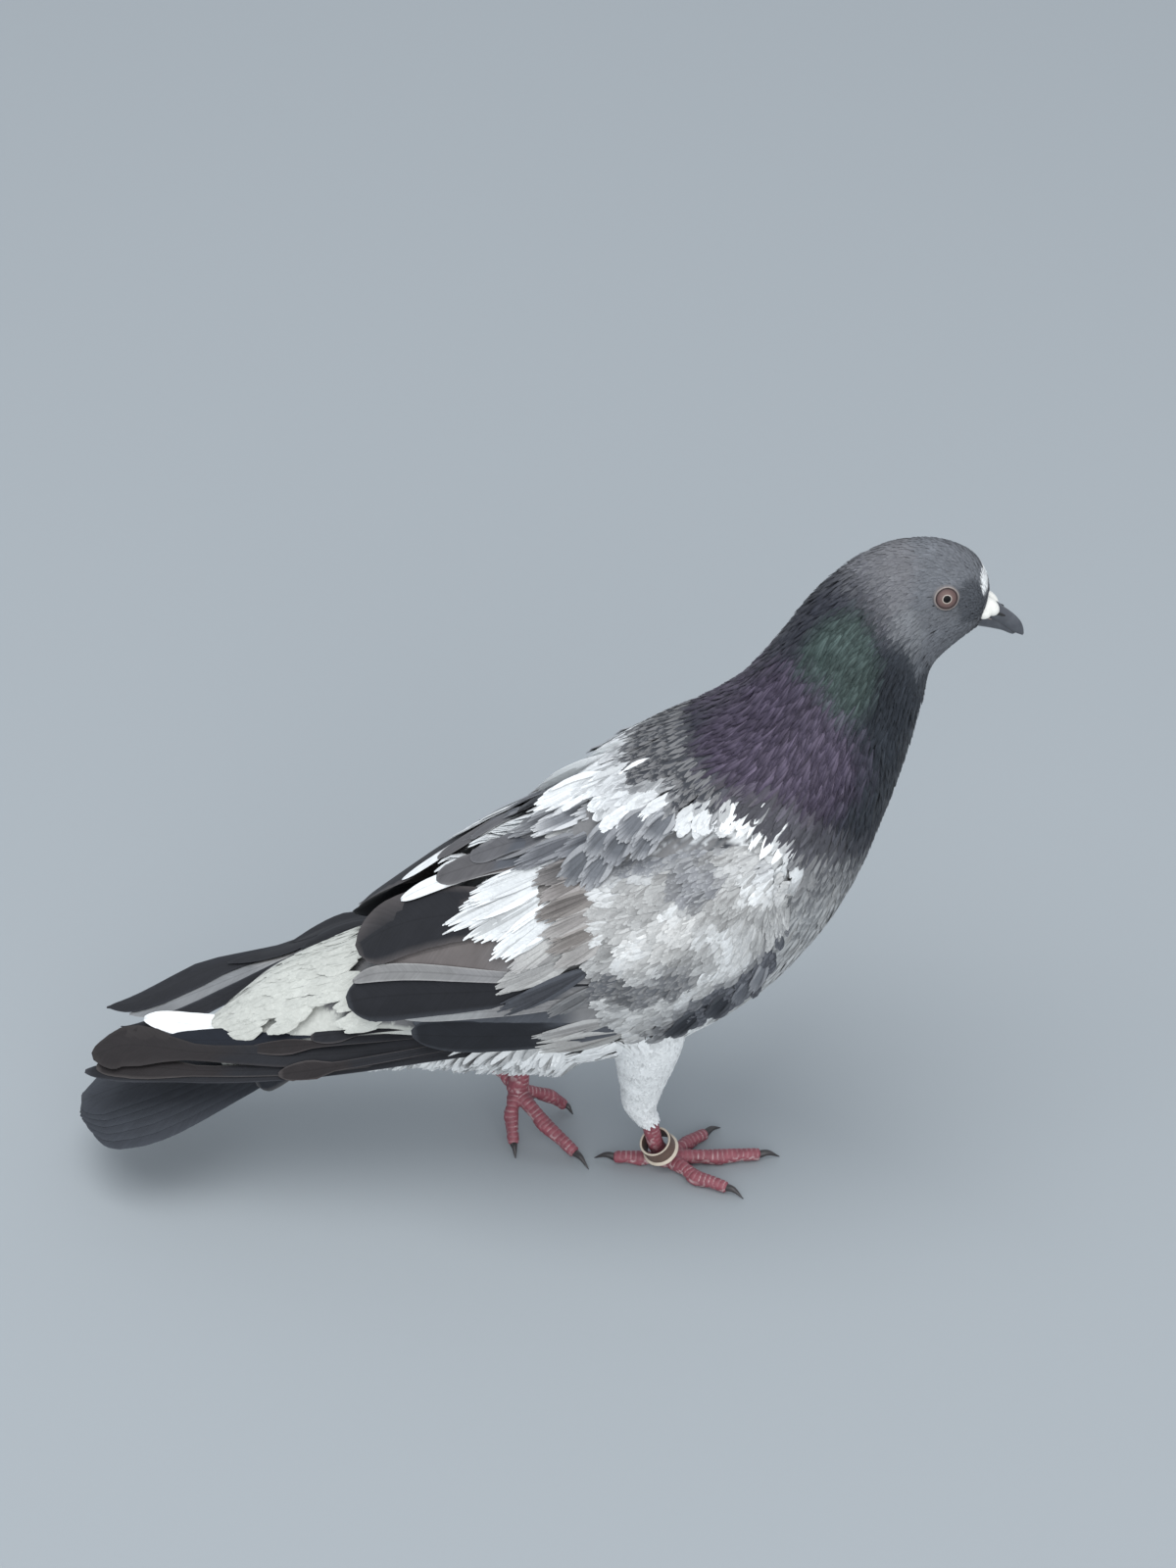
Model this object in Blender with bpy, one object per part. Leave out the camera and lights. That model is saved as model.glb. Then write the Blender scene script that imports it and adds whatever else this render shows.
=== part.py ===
"""A life-size standing pigeon, stepping forward with its weight on the right foot.

Units are millimetres in the tables and metres in the scene. +X is the way the bird faces, +Y its left side
and +Z up. The tables are set out from the sole of the standing foot, and the whole bird is then moved so that
the origin lies on the floor under the middle of its bounding box.
"""

import math

import bmesh
import bpy
import numpy as np
from mathutils import Matrix, Vector

MM = 0.001

# Driving dimensions, in millimetres.
GAP = 0.4  # clearance between neighbouring pieces
BODY_SEGMENTS = 24  # points round each ring of the head, neck and trunk
SHIELD_POINTS = 9  # points across each face of a wing's shield
FLIGHT_POINTS = 6  # points across each face of the flight feathers and of the tail
LEG_SEGMENTS = 8
HEAD_ROWS, TRUNK_ROWS = 15, 19
EYE_RADIUS = 4.6
EYE_CENTRE = (78.9, 8.9, 237.6)
TAIL_LENGTH = 99.0
TAIL_PITCH = 22.0  # degrees the tail slopes down to the rear
TAIL_TURN = 2.5  # degrees its end is swung to the right
TAIL_ROOT = (-112.0, 0.0, 62.0)
RING_BASE = (-5.4, -9.3, 8.0)  # the ring on the standing leg, lying loosely on the foot
RING_AXIS = (-0.35, -0.31, 0.88)
RING_HEIGHT = 6.6
RING_RADIUS = 5.6
RING_FLANGE_RADIUS = 6.3
RING_WALL = 0.8
BAND_BASE = (-53.1, 13.0, 30.0)  # the band on the other leg
BAND_AXIS = (0.08, 0.07, 1.0)
BAND_RADIUS = 4.8
BAND_HEIGHT = 6.0
BAND_WALL = 0.8
FLOOR = 0.0

# Rings of the body from the face to the tail root: the point on the back, the point underneath, both in the
# plane of symmetry, and half the width between them.
BODY_RINGS = (
    # back x, z      under x, z     half width
    (93.4, 231.6, 91.6, 221.2, 3.4),
    (93.6, 235.0, 88.4, 219.8, 6.6),
    (92.2, 240.2, 84.6, 217.0, 9.4),
    (88.0, 246.4, 80.8, 213.0, 11.5),
    (80.2, 250.4, 77.9, 208.8, 12.8),
    (71.0, 251.4, 76.6, 205.4, 13.6),
    (60.0, 248.8, 76.0, 201.4, 15.0),
    (48.5, 240.6, 75.6, 196.4, 17.0),
    (38.0, 228.4, 74.4, 190.4, 19.6),
    (28.0, 212.0, 72.6, 181.0, 23.0),
    (16.5, 195.6, 69.0, 165.5, 28.0),
    (3.0, 184.2, 64.0, 148.0, 33.5),
    (-12.0, 175.4, 57.0, 126.0, 38.5),
    (-28.0, 164.5, 45.5, 103.5, 41.5),
    (-43.0, 150.0, 27.0, 80.5, 42.5),
    (-60.0, 132.0, -2.0, 60.0, 40.0),
    (-80.0, 113.0, -38.0, 50.5, 34.5),
    (-100.0, 97.5, -72.0, 50.0, 27.0),
    (-119.0, 84.0, -100.0, 50.0, 23.5),
    (-138.0, 69.5, -124.0, 45.5, 20.0),
    (-158.0, 54.5, -150.0, 39.5, 12.0),
)
HEAD_END, NECK_END = 6.6, 11.0  # where the head and the neck end, counted in body rings

# The right wing's shield, folded: its upper edge along the back, its lower edge along the flank, how far it
# bulges out from the line between them, and its thickness.
WING_SECTIONS = (
    # upper x, y, z       lower x, y, z         bulge  thick
    (32.5, -40.0, 150.0, 33.0, -41.5, 138.0, 1.5, 3.0),
    (29.0, -34.0, 160.0, 32.0, -42.0, 125.0, 6.0, 7.0),
    (20.0, -26.0, 168.0, 26.0, -42.5, 109.0, 12.0, 10.0),
    (4.0, -17.0, 168.5, 14.0, -42.0, 96.0, 19.0, 12.0),
    (-18.0, -10.0, 161.0, -6.0, -40.0, 83.0, 23.0, 12.0),
    (-44.0, -5.0, 148.0, -34.0, -38.0, 75.0, 22.0, 10.0),
    (-68.0, -2.0, 132.5, -62.0, -35.0, 71.0, 18.0, 8.0),
    (-87.0, -2.4, 118.5, -84.0, -31.0, 69.5, 13.0, 6.0),
    (-102.0, -6.0, 105.0, -99.0, -28.0, 71.5, 8.0, 4.5),
    (-112.5, -13.0, 91.0, -109.0, -25.0, 76.5, 4.0, 2.6),
)

# Each wing's long flight feathers, from under the shield to the tip, lying nearly flat over the tail: inner edge,
# outer edge, bulge and thickness. The left wing's are held a little higher.
PRIMARIES_RIGHT = (
    # inner x, y, z       outer x, y, z        bulge  thick
    (-66.0, -20.0, 80.0, -64.0, -30.5, 70.0, 1.5, 2.6),
    (-88.0, -18.0, 75.5, -86.0, -30.5, 66.5, 1.5, 2.6),
    (-108.0, -17.5, 71.0, -107.0, -30.0, 60.5, 1.5, 2.6),
    (-121.0, -16.5, 66.5, -121.0, -29.5, 57.5, 1.5, 2.4),
    (-134.0, -14.0, 62.0, -134.0, -29.5, 56.0, 1.5, 2.2),
    (-147.0, -11.0, 57.5, -147.0, -29.0, 53.8, 1.4, 2.0),
    (-160.0, -6.5, 53.8, -160.0, -28.0, 52.4, 1.2, 1.8),
    (-172.0, -3.0, 53.0, -172.0, -25.0, 50.6, 1.0, 1.5),
    (-184.0, -2.5, 52.0, -184.0, -20.5, 48.6, 0.7, 1.3),
    (-192.0, -7.0, 51.0, -192.0, -16.5, 47.6, 0.4, 1.1),
    (-197.0, -11.0, 48.6, -197.0, -13.2, 47.6, 0.2, 1.0),
)
PRIMARIES_LEFT = (
    (-66.0, 20.0, 84.0, -64.0, 31.0, 78.0, 1.5, 2.6),
    (-88.0, 19.0, 80.0, -86.0, 33.5, 77.5, 1.5, 2.6),
    (-108.0, 19.0, 76.0, -107.0, 34.0, 74.5, 1.5, 2.6),
    (-121.0, 18.5, 71.5, -121.0, 33.5, 71.0, 1.5, 2.4),
    (-134.0, 15.5, 65.8, -134.0, 32.5, 63.0, 1.5, 2.2),
    (-147.0, 11.5, 60.4, -147.0, 31.5, 58.6, 1.4, 2.0),
    (-160.0, 7.5, 55.4, -160.0, 30.5, 57.2, 1.2, 1.8),
    (-172.0, 5.0, 53.0, -172.0, 27.0, 53.6, 1.0, 1.5),
    (-183.0, 4.5, 51.6, -183.0, 21.5, 51.0, 0.7, 1.3),
    (-190.0, 9.0, 50.8, -190.0, 18.0, 50.0, 0.4, 1.1),
    (-195.0, 13.0, 50.2, -195.0, 15.2, 50.0, 0.2, 1.0),
)

# Half-widths of the closed tail and how deeply it arches, by the share of its length.
TAIL_SECTIONS = (
    # share, half width, arch, thickness
    (0.00, 14.0, 7.0, 7.0),
    (0.20, 19.0, 7.0, 6.0),
    (0.45, 24.0, 6.0, 4.0),
    (0.70, 27.4, 4.8, 2.6),
    (0.82, 24.2, 3.6, 2.2),
    (0.92, 18.8, 2.6, 1.8),
    (0.98, 12.6, 1.8, 1.4),
    (1.00, 8.6, 1.2, 1.2),
)

# Feathered thighs, from inside the belly down to the bare leg: centre and radius.
THIGH_RIGHT = (
    ((-8.0, -20.5, 72.0), 14.0),
    ((-9.5, -18.5, 60.0), 12.0),
    ((-11.0, -15.0, 49.0), 9.6),
    ((-11.8, -13.0, 41.0), 8.0),
    ((-13.0, -11.6, 33.0), 6.6),
    ((-12.0, -10.8, 27.5), 5.0),
    ((-10.4, -10.3, 23.6), 3.8),
)
THIGH_LEFT = (
    ((-26.0, 21.0, 74.0), 16.0),
    ((-36.0, 19.5, 62.0), 14.5),
    ((-46.0, 16.5, 52.0), 10.5),
    ((-51.0, 14.5, 44.5), 6.8),
    ((-52.0, 13.8, 40.5), 4.6),
)

# Bare legs, from the thigh to the ball of the foot.
TARSUS_RIGHT = (
    ((-9.9, -10.3, 23.0), 3.0),
    ((-8.0, -10.0, 14.0), 2.8),
    ((-6.8, -9.4, 9.4), 2.9),
    ((-4.8, -8.8, 5.6), 3.5),
    ((-3.4, -8.5, 2.6), 3.7),
    ((-3.0, -8.4, -0.6), 3.2),
)
TARSUS_LEFT = (
    ((-52.0, 13.7, 40.0), 3.2),
    ((-52.8, 13.2, 33.0), 2.9),
    ((-53.6, 12.8, 26.0), 3.0),
    ((-54.6, 12.3, 20.6), 3.8),
    ((-55.2, 12.0, 17.4), 3.9),
    ((-55.4, 11.6, 14.6), 2.8),
)

# Toes: the root in the ball of the foot, the middle joint and the end, with the radius at the root and end.
# Claws run on from there to the tip.
TOES_RIGHT = {
    "hallux": ((-5.6, -8.2, 2.7), (-12.4, -7.6, 2.5), (-21.0, -6.8, 2.3), 2.8, 2.5, (-28.4, -5.2, 0.5)),
    "inner": ((-1.6, -6.6, 2.9), (3.6, -0.4, 2.6), (9.8, 4.8, 2.3), 2.9, 2.4, (15.6, 10.2, 0.5)),
    "middle": ((-0.2, -7.8, 3.0), (14.5, -7.2, 2.6), (28.2, -5.6, 2.4), 3.0, 2.5, (35.6, -4.6, 0.5)),
    "outer": ((-1.2, -9.8, 2.9), (6.4, -17.6, 2.6), (16.4, -22.0, 2.3), 3.0, 2.4, (22.4, -25.8, 0.5)),
}
TOES_LEFT = {
    "hallux": ((-57.6, 13.9, 19.0), (-62.0, 17.2, 22.0), (-67.0, 21.2, 25.6), 2.5, 2.1, (-73.0, 25.6, 26.0)),
    "inner": ((-56.0, 10.4, 15.0), (-57.2, 5.6, 10.6), (-56.4, 0.2, 2.6), 2.8, 2.4, (-55.6, -5.6, 0.5)),
    "middle": ((-53.8, 10.6, 15.0), (-45.6, 3.2, 8.4), (-35.4, -4.6, 2.5), 3.0, 2.5, (-30.4, -11.0, 0.5)),
    "outer": ((-53.2, 12.8, 15.4), (-44.2, 16.4, 9.8), (-39.2, 19.8, 2.6), 2.7, 2.3, (-35.8, 17.0, 0.5)),
}
CLAW_RADIUS = 1.6
CLAW_ARCH = 1.5

# The bill, from the face to the tip: centre x and z, half height and half width.
BILL_UPPER = (
    (92.0, 228.2, 2.3, 3.5),
    (95.2, 226.5, 2.4, 3.2),
    (98.2, 224.3, 2.5, 2.7),
    (100.8, 221.9, 2.5, 2.2),
    (103.0, 219.6, 2.2, 1.6),
    (104.8, 217.4, 0.9, 0.7),
)
BILL_LOWER = (
    (90.5, 223.6, 2.3, 3.3),
    (94.8, 221.9, 1.9, 2.9),
    (98.0, 220.0, 1.2, 2.1),
    (100.6, 218.0, 0.6, 1.0),
)
CERE_LOBE = {"centre": (93.2, 2.3, 229.6), "radii": (4.5, 2.7, 3.4), "pitch": 42.0}

COLOURS = {
    # name: (red, green, blue), roughness, metallic
    "slate": ((0.115, 0.115, 0.125), 0.72, 0.0),
    "neck": ((0.055, 0.050, 0.065), 0.45, 0.0),
    "grizzle": ((0.560, 0.550, 0.530), 0.75, 0.0),
    "white": ((0.760, 0.750, 0.720), 0.75, 0.0),
    "black": ((0.022, 0.024, 0.030), 0.55, 0.0),
    "bill": ((0.045, 0.050, 0.060), 0.42, 0.0),
    "cere": ((0.800, 0.790, 0.740), 0.80, 0.0),
    "iris": ((0.450, 0.300, 0.270), 0.10, 0.0),
    "foot": ((0.430, 0.110, 0.120), 0.60, 0.0),
    "claw": ((0.050, 0.048, 0.050), 0.40, 0.0),
    "ring": ((0.180, 0.140, 0.100), 0.40, 0.0),
    "band": ((0.050, 0.110, 0.300), 0.40, 0.0),
}


def material(name):
    """The Principled material of that name, made once."""
    made = bpy.data.materials.get(name)
    if made:
        return made
    colour, roughness, metallic = COLOURS[name]
    made = bpy.data.materials.new(name)
    made.use_nodes = True
    shader = made.node_tree.nodes["Principled BSDF"]
    shader.inputs["Base Color"].default_value = (*colour, 1.0)
    shader.inputs["Roughness"].default_value = roughness
    shader.inputs["Metallic"].default_value = metallic
    made.diffuse_color = (*colour, 1.0)
    return made


def smooth_rows(rows, steps, start=0.0, end=None):
    """Rows of numbers read off a Catmull-Rom curve through the given rows, from row number start to end."""
    rows = np.array(rows, float)
    last = len(rows) - 1
    padded = np.vstack([2 * rows[0] - rows[1], rows, 2 * rows[-1] - rows[-2]])
    read = []
    for place in np.linspace(start, last if end is None else end, steps):
        first = min(int(place), last - 1)
        t = place - first
        before, a, b, after = padded[first : first + 4]
        read.append(
            0.5
            * (
                2 * a
                + (b - before) * t
                + (2 * before - 5 * a + 4 * b - after) * t**2
                + (3 * a - before - 3 * b + after) * t**3
            )
        )
    return np.array(read)


def loft(rings):
    """A closed bmesh through rings of equally many points, in millimetres, capped at both ends."""
    bm = bmesh.new()
    loops = []
    for ring in rings:
        points = [bm.verts.new(Vector(point) * MM) for point in ring]
        loops.append([bm.edges.new((a, b)) for a, b in zip(points, points[1:] + points[:1])])
    for one, other in zip(loops, loops[1:]):
        bmesh.ops.bridge_loops(bm, edges=one + other)
    for end in (loops[0], loops[-1]):
        bmesh.ops.contextual_create(bm, geom=end)
    bmesh.ops.recalc_face_normals(bm, faces=bm.faces)
    return bm


def node(name, bm, finish, shown=True):
    """An object made from a bmesh, smooth-shaded, under the root empty. A hidden one is a cutter."""
    mesh = bpy.data.meshes.new(name)
    bm.to_mesh(mesh)
    bm.free()
    mesh.materials.append(material(finish))
    mesh.shade_smooth()
    mesh.set_sharp_from_angle(angle=math.radians(40))
    made = bpy.data.objects.new(name, mesh)
    bpy.context.scene.collection.objects.link(made)
    made.parent = ROOT
    if not shown:
        made.hide_render = True
        made.display_type = "WIRE"
    return made


def grown(bm, by=GAP):
    """A copy of a closed bmesh with every face moved outwards."""
    copy = bm.copy()
    copy.normal_update()
    for vert, reach in [(vert, min(vert.calc_shell_factor(), 1.8)) for vert in copy.verts]:
        vert.co += vert.normal * by * reach * MM
    return copy


def cut(target, bm_cutter, label):
    """Takes the cutter, grown by the gap, out of the target."""
    cutter = node(f"cutter_{label}_{target.name}", grown(bm_cutter), "slate", shown=False)
    boolean = target.modifiers.new(f"clear_of_{label}", "BOOLEAN")
    boolean.operation = "DIFFERENCE"
    boolean.solver = "EXACT"
    boolean.object = cutter


def on_floor(bm):
    """Cuts a foot off flat at the floor."""
    cut_through = bm.verts[:] + bm.edges[:] + bm.faces[:]
    bmesh.ops.bisect_plane(bm, geom=cut_through, plane_co=(0, 0, FLOOR), plane_no=(0, 0, 1), clear_inner=True)
    bmesh.ops.holes_fill(bm, edges=[edge for edge in bm.edges if edge.is_boundary])
    bmesh.ops.recalc_face_normals(bm, faces=bm.faces)
    return bm


def mirrored(bm):
    """The same piece on the other side of the plane of symmetry."""
    copy = bm.copy()
    bmesh.ops.scale(copy, vec=(1, -1, 1), verts=copy.verts)
    bmesh.ops.reverse_faces(copy, faces=copy.faces)
    return copy


def body_ring(row):
    """An elliptical ring through the back and under points."""
    back_x, back_z, under_x, under_z, half_width = row
    centre = Vector(((back_x + under_x) / 2, 0, (back_z + under_z) / 2))
    up = Vector(((back_x - under_x) / 2, 0, (back_z - under_z) / 2))
    angles = np.linspace(0, 2 * math.pi, BODY_SEGMENTS, endpoint=False)
    return [centre + up * math.cos(a) + Vector((0, half_width * math.sin(a), 0)) for a in angles]


def body_length(steps, start, end):
    """A length of the body between two places, counted in rings."""
    return loft([body_ring(row) for row in smooth_rows(BODY_RINGS, steps, start, end)])


def blade(sections, steps, points):
    """A curved blade from its edges: its outer face bulges and its inner face follows at the thickness."""
    rows = smooth_rows(sections, steps)
    middles = (rows[:, 0:3] + rows[:, 3:6]) / 2
    along = np.gradient(middles, axis=0)
    rings = []
    for row, direction in zip(rows, along):
        upper, lower = Vector(row[0:3]), Vector(row[3:6])
        bulge, thickness = max(row[6], 0.2), max(row[7], 1.0)
        outwards = Vector(direction).cross(upper - lower).normalized()
        if outwards.z < 0:
            outwards.negate()
        shares = [0.5 - 0.5 * math.cos(math.pi * k / (points - 1)) for k in range(points)]
        outer, inner = [], []
        for share in shares:
            arch = math.sin(math.pi * share)
            face = lower.lerp(upper, share) + outwards * bulge * arch
            outer.append(face)
            inner.append(face - outwards * (1.0 + (thickness - 1.0) * arch**0.6))
        rings.append(outer + inner[::-1])
    return loft(rings)


def tube(stations, steps, flatten=1.0):
    """A round tube through centres with radii, its rings square to its course."""
    rows = smooth_rows([(*centre, radius) for centre, radius in stations], steps)
    centres = rows[:, :3]
    along = np.gradient(centres, axis=0)
    rings = []
    for centre, direction, radius in zip(centres, along, rows[:, 3]):
        turn = Vector(direction).to_track_quat("Z", "Y")
        rings.append(
            [
                Vector(centre)
                + turn
                @ Vector((radius * math.cos(a), radius * flatten * math.sin(a), 0))
                for a in np.linspace(0, 2 * math.pi, LEG_SEGMENTS, endpoint=False)
            ]
        )
    return loft(rings)


def tail_blade():
    """The closed tail: an arched plate that widens to a rounded end."""
    pitch = math.radians(TAIL_PITCH)
    swing = Matrix.Rotation(math.radians(TAIL_TURN), 3, "Z")
    backwards = swing @ Vector((-math.cos(pitch), 0, -math.sin(pitch)))
    upwards = swing @ Vector((-math.sin(pitch), 0, math.cos(pitch)))
    sideways = swing @ Vector((0, 1, 0))
    rings = []
    for share, half_width, arch, thickness in smooth_rows(TAIL_SECTIONS, 13):
        centre = Vector(TAIL_ROOT) + backwards * TAIL_LENGTH * share
        across = np.linspace(-1, 1, FLIGHT_POINTS)
        top = [
            centre + sideways * half_width * s - upwards * arch * s * s for s in across
        ]
        depth = [1.0 + (thickness - 1.0) * (1 - s * s) for s in across]
        under = [point - upwards * d for point, d in zip(top, depth)]
        rings.append(top + under[::-1])
    return loft(rings)


def ellipsoid(centre, radii, pitch=0.0, segments=10):
    """An ellipsoid with its nose pitched down by some degrees."""
    bm = bmesh.new()
    bmesh.ops.create_uvsphere(bm, u_segments=segments, v_segments=segments // 2 + 1, radius=MM)
    turn = Matrix.Rotation(math.radians(pitch), 4, "Y")
    place = Matrix.Translation(Vector(centre) * MM) @ turn @ Matrix.Diagonal((*radii, 1.0))
    bmesh.ops.transform(bm, matrix=place, verts=bm.verts)
    return bm


def build_body():
    """Head, neck, trunk and the long loft's three lengths."""
    step = 0.012  # a gap of about GAP between neighbouring lengths, in rings
    head = node("head", body_length(HEAD_ROWS, 0.0, HEAD_END), "slate")
    neck = node("neck", body_length(9, HEAD_END + 2.5 * step, NECK_END), "neck")
    trunk = node("trunk", body_length(TRUNK_ROWS, NECK_END + 2.5 * step, len(BODY_RINGS) - 1), "white")
    return head, neck, trunk


def build_eyes(head):
    x, y, z = EYE_CENTRE
    for side, sign in (("left", 1), ("right", -1)):
        ball = ellipsoid((x, sign * y, z), (EYE_RADIUS,) * 3, segments=14)
        cut(head, ball, f"eye_{side}")
        node(f"eye_{side}", ball, "iris")


def bill_half(rows, steps):
    """A bill half as a loft with rounded rings."""
    rows = smooth_rows(rows, steps)
    along = np.gradient(rows[:, :2], axis=0)
    rings = []
    for (x, z, half_height, half_width), (dx, dz) in zip(rows, along):
        up = Vector((-dz, 0, dx)).normalized()
        angles = np.linspace(0, 2 * math.pi, 10, endpoint=False)
        rings.append(
            [
                Vector((x, half_width * math.cos(a), z)) + up * half_height * math.sin(a)
                for a in angles
            ]
        )
    return loft(rings)


def build_bill(head):
    """Both halves of the bill, and the two pale lobes of the cere over its root."""
    upper = bill_half(BILL_UPPER, 8)
    lower = bill_half(BILL_LOWER, 6)
    x, y, z = CERE_LOBE["centre"]
    lobes = [
        ellipsoid((x, sign * y, z), CERE_LOBE["radii"], CERE_LOBE["pitch"]) for sign in (1, -1)
    ]
    cere = node("cere", lobes[0].copy(), "cere")
    other = node("cutter_cere_lobe", lobes[1].copy(), "cere", shown=False)
    join = cere.modifiers.new("two_lobes", "BOOLEAN")
    join.operation = "UNION"
    join.solver = "EXACT"
    join.object = other
    for lobe, side in zip(lobes, ("left", "right")):
        cut(head, lobe, f"cere_{side}")
    cut(cere, upper, "bill")
    face = body_length(HEAD_ROWS, 0.0, HEAD_END)
    upper_node = node("bill_upper", upper.copy(), "bill")
    cut(upper_node, face, "face")
    lower_node = node("bill_lower", lower, "bill")
    cut(lower_node, face, "face")
    cut(lower_node, upper, "bill")


def build_wings(neck, trunk):
    shield = blade(WING_SECTIONS, 15, SHIELD_POINTS)
    for side, wing, flight_rows in (
        ("right", shield, PRIMARIES_RIGHT),
        ("left", mirrored(shield), PRIMARIES_LEFT),
    ):
        feathers = blade(flight_rows, 14, FLIGHT_POINTS)
        cut(neck, wing, f"wing_{side}")
        cut(trunk, wing, f"wing_{side}")
        cut(trunk, feathers, f"primaries_{side}")
        flight = node(f"primaries_{side}", feathers, "black")
        cut(flight, wing, f"wing_{side}")
        node(f"wing_{side}", wing, "grizzle")


def build_tail(trunk):
    tail = tail_blade()
    cut(trunk, tail, "tail")
    node("tail", tail, "black")


def toe_tube(root, middle, end, root_radius, end_radius):
    """A toe that swells a little at its pads."""
    mid_radius = (root_radius + end_radius) / 2
    root, middle, end = Vector(root), Vector(middle), Vector(end)
    return tube(
        (
            (root, root_radius),
            (root.lerp(middle, 0.5), mid_radius * 0.96),
            (middle, mid_radius * 1.04),
            (middle.lerp(end, 0.5), mid_radius * 0.94),
            (end, end_radius),
        ),
        7,
    )


def claw_cone(root, tip, radius):
    """A claw that arches over to its tip."""
    root, tip = Vector(root), Vector(tip)
    middle = root.lerp(tip, 0.5) + Vector((0, 0, CLAW_ARCH))
    return tube(((root, radius), (middle, radius * 0.8), (tip, 0.4)), 5)


def build_leg(side, thigh, tarsus, toes, trunk):
    """One leg: feathered thigh, bare tarsus, four toes and their claws."""
    belly = body_length(TRUNK_ROWS, NECK_END, len(BODY_RINGS) - 1)
    thigh_node = node(f"thigh_{side}", tube(thigh, 9), "white")
    cut(thigh_node, belly, "belly")
    shank = tube(tarsus, 9)
    earlier = {"tarsus": shank}
    for name in ("middle", "outer", "inner", "hallux"):
        root, middle, end, root_radius, end_radius, tip = toes[name]
        toe = toe_tube(root, middle, end, root_radius, end_radius)
        start = Vector(end) + (Vector(tip) - Vector(end)).normalized() * 0.2
        claw = claw_cone(start, tip, CLAW_RADIUS)
        toe_node = node(f"toe_{name}_{side}", on_floor(toe.copy()), "foot")
        for label, other in earlier.items():
            cut(toe_node, other, label)
        earlier[name] = toe
        claw_node = node(f"claw_{name}_{side}", on_floor(claw), "claw")
        cut(claw_node, toe, "toe")
    node(f"tarsus_{side}", on_floor(shank), "foot")


def turned_ring(name, profile, base, axis, finish):
    """A ring turned from its profile of radii and heights, standing on its base along its axis."""
    bm = bmesh.new()
    points = [bm.verts.new(Vector((radius, 0, height)) * MM) for radius, height in profile]
    outline = [bm.edges.new((a, b)) for a, b in zip(points, points[1:] + points[:1])]
    bmesh.ops.spin(
        bm, geom=points + outline, cent=(0, 0, 0), axis=(0, 0, 1), angle=2 * math.pi, steps=20, use_merge=True
    )
    bmesh.ops.remove_doubles(bm, verts=bm.verts, dist=1e-6)
    bmesh.ops.recalc_face_normals(bm, faces=bm.faces)
    turn = Vector(axis).to_track_quat("Z", "Y").to_matrix().to_4x4()
    bmesh.ops.transform(bm, matrix=Matrix.Translation(Vector(base) * MM) @ turn, verts=bm.verts)
    node(name, bm, finish)


def build_rings():
    """The loose ring on the standing leg, with a flange at its foot, and the plain band on the other leg."""
    inside = RING_RADIUS - RING_WALL
    flanged = (
        (RING_FLANGE_RADIUS, 0.0),
        (RING_FLANGE_RADIUS, 0.8),
        (RING_RADIUS, 1.4),
        (RING_RADIUS, RING_HEIGHT),
        (inside, RING_HEIGHT),
        (inside, 0.0),
    )
    turned_ring("leg_ring", flanged, RING_BASE, RING_AXIS, "ring")
    inside = BAND_RADIUS - BAND_WALL
    plain = ((BAND_RADIUS, 0.0), (BAND_RADIUS, BAND_HEIGHT), (inside, BAND_HEIGHT), (inside, 0.0))
    turned_ring("leg_band", plain, BAND_BASE, BAND_AXIS, "band")


def centre_on_origin():
    """Moves the bird so that the middle of its bounding box lies over the origin."""
    corners = [
        vert.co
        for made in bpy.data.objects
        if made.type == "MESH" and not made.hide_render
        for vert in made.data.vertices
    ]
    for axis in (0, 1):
        values = [corner[axis] for corner in corners]
        ROOT.location[axis] = -(min(values) + max(values)) / 2


for old in list(bpy.data.objects):
    bpy.data.objects.remove(old)
ROOT = bpy.data.objects.new("pigeon", None)
bpy.context.scene.collection.objects.link(ROOT)

head_node, neck_node, trunk_node = build_body()
build_eyes(head_node)
build_bill(head_node)
build_wings(neck_node, trunk_node)
build_tail(trunk_node)
build_leg("right", THIGH_RIGHT, TARSUS_RIGHT, TOES_RIGHT, trunk_node)
build_leg("left", THIGH_LEFT, TARSUS_LEFT, TOES_LEFT, trunk_node)
build_rings()
centre_on_origin()
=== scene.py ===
"""The looks of the standing pigeon: a feathered skin round the solids, with its eyes, bill, feet and rings.

The tables are in millimetres, set out from the sole of the standing foot with +X forwards, +Y to the left and
+Z up, as the solids are. Meshes are in metres, moved with the solids to the middle of their box.
"""

import itertools
import math

import bmesh
import bpy
import numpy as np
from mathutils import Matrix, Vector
from mathutils.bvhtree import BVHTree
from mathutils.kdtree import KDTree


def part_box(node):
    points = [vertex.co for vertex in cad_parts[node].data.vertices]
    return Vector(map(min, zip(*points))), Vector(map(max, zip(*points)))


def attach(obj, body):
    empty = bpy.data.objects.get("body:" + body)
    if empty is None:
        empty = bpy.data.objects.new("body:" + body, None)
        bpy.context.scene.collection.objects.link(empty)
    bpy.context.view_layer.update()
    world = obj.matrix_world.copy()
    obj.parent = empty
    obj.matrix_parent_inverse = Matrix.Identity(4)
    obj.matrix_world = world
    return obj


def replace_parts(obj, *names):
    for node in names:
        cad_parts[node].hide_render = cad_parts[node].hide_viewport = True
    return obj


MM = 0.001
EYE = np.array((78.9, -8.9, 237.6))  # middle of the right eye
EYE_BARE = 4.75  # the head's feathers keep this far from the middle of an eye
CERE_BARE = 3.7  # and this far from the middle of the cere
WING_CLEAR = 3.0  # skin that is farther off the body's surface than this
THIGH_TOP = 76.0  # and higher than this is the wing's
BAKE_PATCH = 0.003  # side of one small feather's patch on the coat's map
WING_OVERLAP = 1.5  # how far the body's feathers lie over the wing's edge
RUMP_MOUND = (19.0, 0.45, 4.5)  # ring, angle and height of the mound of coverts over the tail's root
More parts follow.
